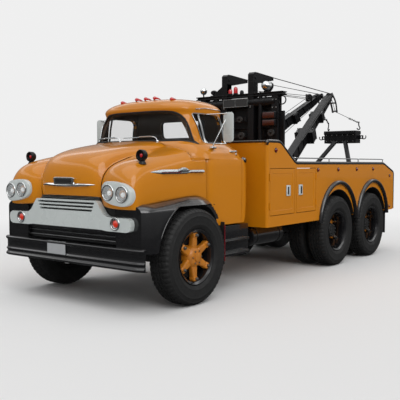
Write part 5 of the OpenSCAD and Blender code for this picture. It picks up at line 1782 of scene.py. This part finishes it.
def makeMast():
    bm = bmesh.new()
    y, post, column, half = crane["mastY"], crane["post"], crane["column"], crane["postHalf"]
    for side in (-1, 1):
        channelPost(bm, side * column, 0.050, 1.30, 2.53, 0.054)
        block(bm, at(side * post - half, y - 0.060, 1.30), at(side * post + half, y + 0.060, 2.745))
        block(bm, at(side * post - half - 0.006, y - 0.066, 2.36), at(side * post + half + 0.006, y + 0.066, 2.40))
        # a head plate on each face of the post, carried rearwards as an arm
        outline = [(y - 0.060, 2.60), (y - 0.060, 2.855), (y - 0.020, 2.885), (y + 0.060, 2.885), (y + 0.500, 2.863),
                   (y + 0.500, 2.810), (y + 0.060, 2.725), (y + 0.060, 2.60)]
        for face in (-1, 1):
            low = side * post + face * (half - 0.0065) - 0.0065
            joinInto(bm, sidePrism(outline, low, low + 0.013))
        for strip in ([(y - 0.02, 2.873), (y + 0.06, 2.873), (y + 0.495, 2.852), (y + 0.495, 2.861),
                       (y + 0.06, 2.883),
                       (y - 0.02, 2.883)],
                      [(y - 0.058, 2.61), (y - 0.050, 2.61), (y - 0.050, 2.850), (y - 0.018, 2.874),
                       (y - 0.020, 2.883),
                       (y - 0.058, 2.853)],
                      [(y + 0.065, 2.730), (y + 0.42, 2.797), (y + 0.42, 2.805), (y + 0.065, 2.738)]):
            joinInto(bm, sidePrism(strip, side * post - half + 0.005, side * post + half - 0.005))
        block(bm, at(side * post - half + 0.004, y + 0.052, 2.60), at(side * post + half - 0.004, y + 0.060, 2.735))
        tube(bm, at(side * post - half - 0.010, y + 0.468, 2.836), at(side * post + half + 0.010, y + 0.468, 2.836),
             0.014)
        tube(bm, at(side * post - half - 0.010, y, 2.80), at(side * post + half + 0.010, y, 2.80), 0.020)
        block(bm, at(side * 0.765 - 0.006, y - 0.020, 1.30), at(side * 0.765 + 0.005, y + 0.020, 2.30))
        block(bm, at(side * 0.69, y - 0.006, 1.30), at(side * 0.766, y + 0.006, 2.30))
        tube(bm, at(side * 0.39, y - 0.035, 1.30), at(side * 0.39, y - 0.035, 2.53), 0.030, steps=28)
        # knee plates at the foot
        for x in (side * column, side * post):
            for face in (-1, 1):
                foot = [(y + face * 0.06, 1.36), (y + face * 0.105, 1.36), (y + face * 0.06, 1.52)]
                joinInto(bm, sidePrism(foot, x - 0.008, x + 0.008))
    # the housing between the columns, over the winches
    block(bm, at(-0.648, y + 0.046, 1.762), at(0.648, y + 0.058, 2.400))
    for z in (1.80, 2.08, 2.36):
        block(bm, at(-0.60, y + 0.020, z - 0.02), at(0.60, y + 0.050, z))
    gusset = [(post, 2.570), (post, 2.720), (0.300, 2.712), (0.465, 2.602), (0.465, 2.570)]
    panel = crossPrism(gusset, y - 0.030, y + 0.030)
    joinInto(bm, mirrored(panel))
    panel.free()
    block(bm, at(-0.770, y - 0.070, 2.561), at(0.770, y + 0.070, 2.575))
    block(bm, at(-0.770, y - 0.070, 2.525), at(0.770, y + 0.070, 2.537))
    block(bm, at(-0.762, y - 0.045, 2.53), at(0.762, y + 0.045, 2.57))
    tube(bm, at(-0.640, y, 2.44), at(0.640, y, 2.44), 0.071, steps=48)
    for x in (-0.46, 0.46):
        tube(bm, at(x - 0.008, y, 2.44), at(x + 0.008, y, 2.44), 0.078, steps=48)
    block(bm, at(-0.700, y - 0.110, 1.30), at(0.700, y + 0.110, 1.312))
    block(bm, at(-0.700, y - 0.110, 1.348), at(0.700, y + 0.110, 1.360))
    block(bm, at(-0.700, y - 0.050, 1.31), at(0.700, y + 0.050, 1.35))
    addPiece("mastFrame", bm, "craneBlack", replaces=["mast"], bevel=0.004)
    bolts = bmesh.new()
    points = []
    for side in (-1, 1):
        points += [at(side * post, y - 0.067, z) for z in (2.37, 2.39)]
        points += [at(side * (column + dx), y - 0.061, z) for z in (2.35, 2.46) for dx in (-0.03, 0.03)]
        points += [at(side * (column + dx), y - 0.112, 1.33) for dx in (-0.04, 0.04)]
    boltRing(bolts, points, (0, -1, 0))
    addPiece("mastBolts", bolts, "satinSteel", slot="black_paint", crease=30)
    blank, frameBm = bmesh.new(), bmesh.new()
    block(blank, at(-0.215, y - 0.108, 2.388), at(0.205, y - 0.102, 2.492))
    for x0, x1, z0, z1 in ((-0.222, 0.212, 2.380, 2.388), (-0.222, 0.212, 2.492, 2.500),
                           (-0.222, -0.215, 2.380, 2.500),
                           (0.205, 0.212, 2.380, 2.500), (-0.008, -0.002, 2.380, 2.500)):
        block(frameBm, at(x0, y - 0.112, z0), at(x1, y - 0.070, z1))
    addPiece("mastPlate", blank, "satinBlack", slot="matte_black")
    addPiece("mastPlateFrame", frameBm, "satinSteel", bevel=0.001)
    fittings, wheelsBm, box, lens = bmesh.new(), bmesh.new(), bmesh.new(), bmesh.new()
    for side in (-1, 1):
        sheave(wheelsBm, at(side * post, y + 0.468, 2.836), (1, 0, 0), 0.034, 0.024)
    for x, z, r in ((0.60, 1.99, 0.050), (0.06, 2.20, 0.045), (0.09, 1.96, 0.050), (-0.12, 2.05, 0.045)):
        sheave(wheelsBm, at(x, y - 0.085, z), (0, 1, 0), r, 0.015)
        lathe(fittings, [(0, closedEnd), (0, 0.018), (0.016, 0.018), (0.020, 0.010), (0.020, closedEnd)],
              at(x, y - 0.096, z), (0, -1, 0), 20)
    block(fittings, at(-0.165, y - 0.070, 2.17), at(0.165, y - 0.045, 2.23))
    block(fittings, at(-0.165, y - 0.070, 1.93), at(0.165, y - 0.045, 1.99))
    block(fittings, at(0.560, y - 0.072, 1.96), at(0.640, y - 0.060, 2.02))
    for z0, z1 in ((2.185, 2.290), (2.080, 2.180)):
        joinInto(box, crossPrismBox((0.462, y - 0.115, z0), (0.680, y - 0.060, z1)))
        joinInto(lens, crossPrismBox((0.475, y - 0.124, z0 + 0.012), (0.667, y - 0.110, z1 - 0.012)))
    addPiece("mastSheaves", wheelsBm, "castIron")
    addPiece("mastFittings", fittings, "craneBlack", bevel=0.002)
    addPiece("signalBox", box, "craneBlack", bevel=0.0)
    addPiece("signalLenses", lens, "lensAmber", slot="lamp_red")
    hose = bmesh.new()
    ringOf(hose, at(0.732, y, 2.452), (0, 1, 0), 0.058, 0.009, 40, 10)
    ropeOf(hose, [at(0.700, y + 0.015, z) for z in steps(1.36, 2.40, 12)], 0.010, 8)
    addPiece("airHose", hose, "mattBlack")


def makeMastLamps():
    y = crane["mastY"]
    stems, bowls, lenses, red = bmesh.new(), bmesh.new(), bmesh.new(), bmesh.new()
    tube(stems, at(-0.674, y, 2.574), at(-0.674, y, 2.63), 0.010, steps=14)
    lathe(bowls, [(-0.052, closedEnd), (-0.050, 0.018), (-0.038, 0.037), (-0.018, 0.050), (0.006, 0.055), (0.020, 0.053),
                  (0.024, 0.048), (0.018, closedEnd)], at(-0.674, y, 2.669), (0, 1, 0), 40)
    lathe(lenses, [(0.016, closedEnd), (0.016, 0.046), (0.030, 0.038), (0.038, 0.018), (0.040, closedEnd)],
          at(-0.674, y, 2.669), (0, 1, 0), 40)
    # the work lamp looks rearwards over the deck
    tube(stems, at(0.437, y, 2.574), at(0.437, y, 2.60), 0.012, steps=14)
    work, aim = at(0.455, y + 0.03, 2.668), (0.30, 0.85, -0.40)
    lathe(bowls, [(-0.085, closedEnd), (-0.083, 0.026), (-0.062, 0.052), (-0.020, 0.070), (0.020, 0.076), (0.034, 0.076),
                  (0.030, closedEnd)], work, aim, 48)
    lathe(stems, [(0.026, 0.060), (0.026, 0.082), (0.056, 0.084), (0.062, 0.078), (0.062, 0.066), (0.050, 0.060)],
          work, aim, 48)
    lathe(lenses, [(0.030, closedEnd), (0.030, 0.064), (0.052, 0.050), (0.060, 0.022), (0.062, closedEnd)], work, aim, 48)
    block(stems, at(-0.52, y - 0.03, 2.574), at(-0.44, y + 0.03, 2.590))
    lathe(stems, [(-0.035, closedEnd), (-0.035, 0.030), (0.0, 0.040), (0.035, 0.040), (0.038, 0.034), (0.038, closedEnd)],
          at(-0.48, y, 2.632), (0, 1, 0), 32)
    for x, r, tall in ((-0.135, 0.030, 0.085), (-0.040, 0.032, 0.115)):
        lathe(stems, [(0, closedEnd), (0, r + 0.006), (0.016, r + 0.006), (0.020, r), (0.020, closedEnd)],
              at(x, y - 0.045, 2.574),
              (0, 0, 1), 28)
        lathe(red, [(0.018, closedEnd), (0.018, r), (tall * 0.72, r * 0.96), (tall * 0.92, r * 0.72), (tall, r * 0.3),
                    (tall, closedEnd)], at(x, y - 0.045, 2.574), (0, 0, 1), 32)
    lathe(stems, [(0, closedEnd), (0, 0.03), (0.03, 0.03), (0.05, 0.022), (0.06, closedEnd)], at(0.07, y - 0.045, 2.574),
          (0, 0, 1), 28)
    addPiece("mastLampBowls", bowls, "chrome")
    addPiece("mastLampStems", stems, "craneBlack")
    addPiece("mastLampGlass", lenses, "lampWhite", slot="glass")
    addPiece("mastBeacons", red, "lensRed")


def makeWinches():
    drums, frames, coils = bmesh.new(), bmesh.new(), bmesh.new()
    y, z = crane["mastY"] - 0.02, 1.62
    low, high = 0.287, 0.589
    lathe(drums, [(low, closedEnd), (low, 0.116), (low + 0.014, 0.116), (low + 0.014, 0.052), (high - 0.014, 0.052),
                  (high - 0.014, 0.116), (high, 0.116), (high, closedEnd)], at(0, y, z), (1, 0, 0), 48)
    for layer, radius in enumerate((0.058, 0.069, 0.080)):
        turns = 20 - layer
        points = []
        for k in range(turns * 14 + 1):
            share = k / (turns * 14)
            x = low + 0.022 + (high - low - 0.044) * (share if layer % 2 == 0 else 1 - share)
            turn = 2 * math.pi * k / 14
            points.append(at(x, y + radius * math.sin(turn), z + radius * math.cos(turn)))
        ropeOf(coils, points, 0.0068, 5)
    block(frames, at(0.320, y + 0.14, 1.30), at(0.334, y + 0.21, 1.70))
    block(frames, at(0.556, y + 0.14, 1.30), at(0.570, y + 0.21, 1.70))
    block(frames, at(0.330, y + 0.15, 1.60), at(0.560, y + 0.20, 1.69))
    tube(frames, at(0.322, y + 0.175, 1.50), at(0.568, y + 0.175, 1.50), 0.022)
    tube(frames, at(0.322, y + 0.165, 1.36), at(0.568, y + 0.165, 1.36), 0.014)
    addPiece("winchDrums", bothSides(drums), "craneBlack", replaces=["winches"])
    addPiece("winchFrames", bothSides(frames), "craneBlack", bevel=0.004)
    addPiece("winchRope", bothSides(coils), "wireRope", crease=80)


def makeSwivels():
    x, y = crane["foot"][0], crane["foot"][1]
    bm, steel = bmesh.new(), bmesh.new()
    lathe(bm, [(1.301, closedEnd), (1.301, 0.110), (1.322, 0.110), (1.328, 0.100), (1.360, 0.092), (1.372, 0.096),
               (1.380, 0.096), (1.380, closedEnd)], Vector((x, y - leadOfAxle, 0)), (0, 0, 1), 56)
    boltRing(steel, [at(x + 0.101 * math.sin(k * math.pi / 5), y + 0.101 * math.cos(k * math.pi / 5), 1.322)
                     for k in range(10)], (0, 0, 1), 0.010, 0.008)
    cheeks = bmesh.new()
    for side in (-1, 1):
        outline = [(-0.070, 1.370), (-0.070, 1.46), (-0.052, 1.535), (-0.03, 1.562), (0.03, 1.562), (0.052, 1.535),
                   (0.070, 1.46), (0.070, 1.370)]
        verts = [Vector((side * 0.085, across, up)) for across, up in outline]
        piece = bmesh.new()
        for shift in (-0.012, 0.012):
            for v in verts:
                piece.verts.new(v + Vector((shift, 0, 0)))
        piece.verts.ensure_lookup_table()
        count = len(verts)
        piece.faces.new([piece.verts[k] for k in range(count)])
        piece.faces.new([piece.verts[count + k] for k in reversed(range(count))])
        for k in range(count):
            j = (k + 1) % count
            piece.faces.new((piece.verts[k], piece.verts[j], piece.verts[count + j], piece.verts[count + k]))
        joinInto(cheeks, piece)
    bmesh.ops.transform(cheeks, matrix=Matrix.Translation(at(x, y, 0))
                        @ Matrix.Rotation(math.radians(crane["turn"]), 4, "Z"), verts=cheeks.verts)
    joinInto(bm, cheeks)
    for sideName, flip in (("left", False), ("right", True)):
        body = sideName + "_swivel"
        addPiece(sideName + "Swivel", mirrored(bm) if flip else bm.copy(), "craneBlack", body, "black_paint",
                 [sideName + "_boom_swivel"], bevel=0.003)
        addPiece(sideName + "SwivelBolts", mirrored(steel) if flip else steel.copy(), "satinSteel", body,
                 "black_paint")


def taperedBar(bm, halfWidth, rows):
    # a closed box section through rows of (along, low, high)
    rings = [[bm.verts.new((x, along, z)) for x, z in ((-halfWidth, low), (halfWidth, low), (halfWidth, high),
                                                         (-halfWidth, high))] for along, low, high in rows]
    for here, there in zip(rings, rings[1:]):
        for k in range(4):
            j = (k + 1) % 4
            bm.faces.new((here[k], here[j], there[j], there[k]))
    bm.faces.new(rings[0][::-1])
    bm.faces.new(rings[-1])


def makeBooms():
    length = crane["length"]
    beam, collars, steel, ropes = bmesh.new(), bmesh.new(), bmesh.new(), bmesh.new()
    taperedBar(beam, 0.052, [(-0.045, -0.045, 0.045), (0.12, -0.084, 0.084), (1.40, -0.079, 0.079),
                             (length - 0.05, -0.045, 0.045)])
    for sign in (-1, 1):
        taperedBar(beam, 0.066, [(along, min(sign * a, sign * b), max(sign * a, sign * b)) for along, a, b in
                                 ((0.10, 0.072, 0.090), (1.40, 0.070, 0.085), (length - 0.055, 0.036, 0.050))])
    for k in range(9):
        along = 0.28 + 0.26 * k
        share = max(0.0, (along - 1.40) / 1.2)
        half = 0.084 - 0.032 * share
        block(beam, (-0.064, along - 0.006, -half), (0.064, along + 0.006, half))
    for sign in (-1, 1):
        tube(beam, (sign * 0.050, 0, 0), (sign * 0.071, 0, 0), 0.058, steps=36)
        block(beam, (sign * 0.042 - 0.007, length - 0.06, -0.046), (sign * 0.042 + 0.007, length + 0.065, 0.046))
        tube(beam, (sign * 0.035, length + 0.062, 0), (sign * 0.049, length + 0.062, 0), 0.047, steps=32)
    tube(steel, (-0.096, 0, 0), (0.096, 0, 0), 0.0218, steps=28)
    tube(steel, (-0.058, length + 0.055, 0), (0.058, length + 0.055, 0), 0.014, steps=20)
    for start, end, half, low, high in ((1.010, 1.190, 0.150, -0.125, 0.070), (1.740, 1.860, 0.115, -0.100, 0.062)):
        shell = boxOf((-half, start + leadOfAxle, low), (half, end + leadOfAxle, high))
        bmesh.ops.bevel(shell, geom=shell.edges[:], offset=0.012, segments=3, profile=0.5, affect="EDGES",
                        material=-1)
        joinInto(collars, shell)
        for sign in (-1, 1):
            block(collars, (-half - 0.004, start - 0.002 if sign < 0 else end - 0.014, low - 0.004),
                  (half + 0.004, start + 0.014 if sign < 0 else end + 0.002, high + 0.004))
        boltRing(steel, [Vector((x, along, high + 0.001)) for x in (-half * 0.8, half * 0.8)
                         for along in (start + 0.04, end - 0.04)], (0, 0, 1), 0.012, 0.010)
    sheaveBm = bmesh.new()
    sheave(sheaveBm, (0, length + 0.055, 0), (1, 0, 0), 0.042, 0.024)
    # ropes that run beside the beam: one over it and one under it
    ropeOf(ropes, [(0.105, 0.62 + k * 0.1, 0.125 - 0.0022 * k) for k in range(20)] + [(0.02, length + 0.03, 0.042)],
           crane["ropeRadius"], 8)
    ropeOf(ropes, [(-0.02, 0.28, -0.215)] + [(-0.02 - 0.001 * k, 0.5 + k * 0.1,
                                              -0.208 + 0.0072 * k) for k in range(21)]
           + [(-0.01, length + 0.035, -0.036)], crane["ropeRadius"], 8)
    for along, low, x in ((0.30, -0.215, -0.02), (1.30, -0.15, -0.03)):
        block(collars, (x - 0.008, along - 0.012, low - 0.006), (x + 0.008, along + 0.012, -0.07))
    for bm in (beam, collars, steel, sheaveBm, ropes):
        onBoom(bm)
    for sideName, flip in (("left", False), ("right", True)):
        body = sideName + "_boom_arm"
        for title, bm, look, slotName, nodeNames, width in (
                ("Boom", beam, "craneBlack", "black_paint", [sideName + "_boom"], 0.003),
                ("BoomCollars", collars, "craneBlack", "black_paint", [], 0.002),
                ("BoomPins", steel, "satinSteel", "black_paint", [], 0.001),
                ("BoomSheave", sheaveBm, "castIron", "black_paint", [], 0.001),
                ("BoomRopes", ropes, "wireRope", "wire_rope", [], 0)):
            addPiece(sideName + title, mirrored(bm) if flip else bm.copy(), look, body, slotName, nodeNames,
                     bevel=width)
    for bm in (beam, collars, steel, sheaveBm, ropes):
        bm.free()


def strand(first, last, radius, count=24):
    bm = bmesh.new()
    ropeOf(bm, [first.lerp(last, k / count) for k in range(count + 1)], radius, 8)
    return bm


def toppingRope(name, starts, ends, nodeName=None):
    # each rope leaves the mast and ends on a boom, made as a short piece at the mast and a long piece on to the boom
    near, far = bmesh.new(), bmesh.new()
    share = 0.10
    for start, end in zip(starts, ends):
        middle = start.lerp(end, share)
        joinInto(near, strand(start, middle, crane["ropeRadius"], 8))
        joinInto(far, strand(middle, end, crane["ropeRadius"], 48))
    first = addPiece(name + "AtMast", near, "wireRope", None, "wire_rope", [nodeName] if nodeName else [])
    second = addPiece(name + "AtBoom", far, "wireRope", None, "wire_rope", [nodeName] if nodeName else [])
    middle = starts[0].lerp(ends[0], share)
    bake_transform(first)
    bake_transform(second)


def makeRopes():
    length, post, y = crane["length"], crane["post"], crane["mastY"]
    for side, sideName in ((1, "left"), (-1, "right")):
        starts = [at(side * post + shift, y + 0.480, 2.868) for shift in (-0.006, 0.006)]
        ends = [boomPoint(shift, length + 0.055, 0.040, side) for shift in (-0.008, 0.008)]
        toppingRope(sideName + "Topping", starts, ends, sideName + "_boom_cables")
    block0 = at(*crane["blockAt"])
    starts = [at(0.10, y + 0.075, 2.640), at(0.30, y + 0.075, 2.600), at(0.52, y + 0.075, 2.550)]
    ends = [block0 + Vector((0, -0.02, 0.030)), block0 + Vector((0.02, -0.02, -0.012)),
            block0 + Vector((0.03, -0.01, -0.040))]
    toppingRope("blockRope", starts, ends)
    # the block and its arm hang on the right boom's head
    bm, pins = bmesh.new(), bmesh.new()
    head = boomPoint(0, length + 0.02, 0.052, -1)
    for shift in (-0.028, 0.028):
        joinInto(bm, sidePrism([(p[0] + leadOfAxle + block0.y, p[1] + block0.z) for p in
                                ((-0.060, -0.062), (0.050, -0.066), (0.075, -0.03), (0.07, 0.03), (0.02, 0.058),
                                 (-0.055, 0.058))], block0.x + shift - 0.008, block0.x + shift + 0.008))
    ropeOf(bm, [block0 + Vector((0, 0.06, -0.012)), block0.lerp(head, 0.5) + Vector((0, 0, -0.010)), head],
           (0.022, 0.024), 4)
    sheave(pins, block0 + Vector((0, -0.01, 0.0)), (1, 0, 0), 0.052, 0.018)
    tube(pins, block0 + Vector((-0.045, -0.01, 0)), block0 + Vector((0.045, -0.01, 0)), 0.012, steps=16)
    addPiece("toppingBlock", bm, "craneBlack", "right_boom_arm", "black_paint", bevel=0.002)
    addPiece("toppingSheave", pins, "castIron", "right_boom_arm", "black_paint")


def hookAt(bm, top, size, turn):
    # an eye, a shank and the hook below it, lying in the plane given by turn
    points = [(0, 0), (0, -0.20), (0.005, -0.34), (0.04, -0.46), (0.10, -0.60), (0.18, -0.72), (0.18, -0.88),
              (0.08, -1.0),
              (-0.07, -1.02), (-0.20, -0.93), (-0.25, -0.78)]
    along = Vector((math.cos(turn), math.sin(turn), 0))
    spots = [Vector(top) + along * (a * size) + Vector((0, 0, b * size)) for a, b in denser(points, 0.06, False)]
    ropeOf(bm, spots, 0.085 * size, 10)
    ringOf(bm, Vector(top) + Vector((0, 0, 0.07 * size)), along.cross(Vector((0, 0, 1))), 0.10 * size, 0.045 * size,
           24, 8)


def chainOf(bm, start, end, size):
    count = max(2, round((end - start).length / (size * 1.45)))
    step = (end - start) / count
    along = step.normalized()
    base = along.orthogonal().normalized()
    for k in range(count):
        across = base if k % 2 else along.cross(base)
        centre = start + step * (k + 0.5)
        points = []
        for i in range(12):
            turn = 2 * math.pi * i / 12
            points.append(centre + along * (size * math.cos(turn)) + across * (size * 0.48 * math.sin(turn)))
        ropeOf(bm, points, size * 0.17, 6, closed=True)


def makeHooks():
    length = crane["length"]
    for side, sideName in ((1, "left"), (-1, "right")):
        body = sideName + "_boom_arm"
        head = boomPoint(0, length + 0.055, 0, side)
        arm, pins, line, hook, chain = bmesh.new(), bmesh.new(), bmesh.new(), bmesh.new(), bmesh.new()
        # the fairlead swings from the head and hangs rearwards
        out = Vector((side * 0.03, 0.15, -0.285))
        tip = head + out
        side0 = Vector((1, 0, 0))
        for shift in (-0.060, 0.060):
            spots = [head + out * t + side0 * (shift * (1 - 0.3 * t))
                     + Vector((0, 0.035, 0.02)) * math.sin(math.pi * t) for t in steps(-0.06, 1.06, 14)]
            ropeOf(arm, spots, (0.007, 0.026), 8)
        tube(pins, head - side0 * 0.072, head + side0 * 0.072, 0.015, steps=16)
        for t in (0.52, 0.98):
            centre = head + out * t + Vector((0, 0.035 * math.sin(math.pi * t), 0.02 * math.sin(math.pi * t)))
            tube(pins, centre - side0 * 0.055, centre + side0 * 0.055, 0.016, steps=16)
        end = at(side * 0.315, 6.100, 2.330)
        lead = tip + Vector((0, 0.025, 0.0))
        chainTop = lead.lerp(end, 0.60)
        joinInto(line, strand(boomPoint(0, length + 0.09, 0.020, side), lead, crane["ropeRadius"], 6))
        joinInto(line, strand(lead, chainTop, crane["ropeRadius"], 10))
        ball(pins, chainTop, 0.020, steps=14)
        chainOf(chain, chainTop, end, 0.026)
        hookAt(hook, end, 0.125, 0.6 if side > 0 else 2.5)
        addPiece(sideName + "Fairlead", arm, "craneBlack", body, "black_paint")
        addPiece(sideName + "FairleadPins", pins, "satinSteel", body, "chrome")
        addPiece(sideName + "TowLine", line, "wireRope", body, "wire_rope")
        addPiece(sideName + "TowChain", chain, "mattBlack", body, "matte_black")
        addPiece(sideName + "TowHook", hook, "craneBlack", body, "black_paint")


def makeTowBar():
    y = 6.05
    bar, legs, steel, hooks = bmesh.new(), bmesh.new(), bmesh.new(), bmesh.new()
    for z0, z1, deep, half in ((1.945, 1.957, 0.110, 0.325), (2.128, 2.140, 0.110, 0.325),
                               (2.139, 2.180, 0.130, 0.325)):
        block(bar, at(-half, y - deep, z0), at(half, y + deep, z1))
    for face in (-1, 1):
        block(bar, at(-0.325, y + face * 0.104 - 0.006, 1.95), at(0.325, y + face * 0.104 + 0.006, 2.135))
        block(bar, at(face * 0.3185 - 0.006, y - 0.104, 1.95), at(face * 0.3185 + 0.006, y + 0.104, 2.135))
        block(bar, at(-0.325, y + face * 0.130 - 0.006, 2.116), at(0.325, y + face * 0.130 + 0.006, 2.16))
    for side in (-1, 1):
        for x in (0.10, 0.22):
            block(bar, at(side * x - 0.005, y - 0.118, 1.95), at(side * x + 0.005, y + 0.118, 2.135))
        foot, head = at(side * 0.44, 5.50, 1.36), at(side * 0.105, 5.96, 1.97)
        ropeOf(legs, [foot, head], (0.045, 0.045), 4)
        tube(legs, foot - Vector((0.050, 0, 0)), foot + Vector((0.050, 0, 0)), 0.038, steps=32)
        tube(steel, foot - Vector((0.084 + 0.014 * (side > 0), 0, 0)),
             foot + Vector((0.084 + 0.014 * (side < 0), 0, 0)), 0.0199,
             steps=28)
        eye = sidePrism([(y - 0.012, 2.02), (y + 0.012, 2.02), (y + 0.012, 2.09), (y - 0.012, 2.09)],
                        min(side * 0.315, side * 0.43), max(side * 0.315, side * 0.43))
        hole = bmesh.new()
        tube(hole, at(side * 0.395, y - 0.02, 2.055), at(side * 0.395, y + 0.02, 2.055), 0.016, steps=24)
        joinInto(bar, carve(eye, [("DIFFERENCE", hole)]))
        points = [(0.395, 2.036), (0.425, 2.022), (0.455, 2.020), (0.478, 2.034), (0.486, 2.058), (0.478, 2.082)]
        ropeOf(hooks, [at(side * a, y, b) for a, b in denser(points, 0.012, False)], 0.0095, 8)
        for z in (1.98, 2.10):
            boltRing(steel, [at(side * x, y - 0.111, z) for x in (0.06, 0.16, 0.28)], (0, -1, 0), 0.010, 0.008)
    addPiece("towBar", bar, "craneBlack", "towing_bar", "black_paint", ["tow_bar"], bevel=0.003)
    addPiece("towLegs", legs, "craneBlack", "towing_bar", "black_paint", bevel=0.003)
    addPiece("towPins", steel, "satinSteel", "towing_bar", "black_paint")
    addPiece("towEndHooks", hooks, "craneBlack", "towing_bar", "black_paint")


makeMast()
makeMastLamps()
makeWinches()
makeSwivels()
makeBooms()
makeRopes()
makeHooks()
makeTowBar()
print("crane is made")
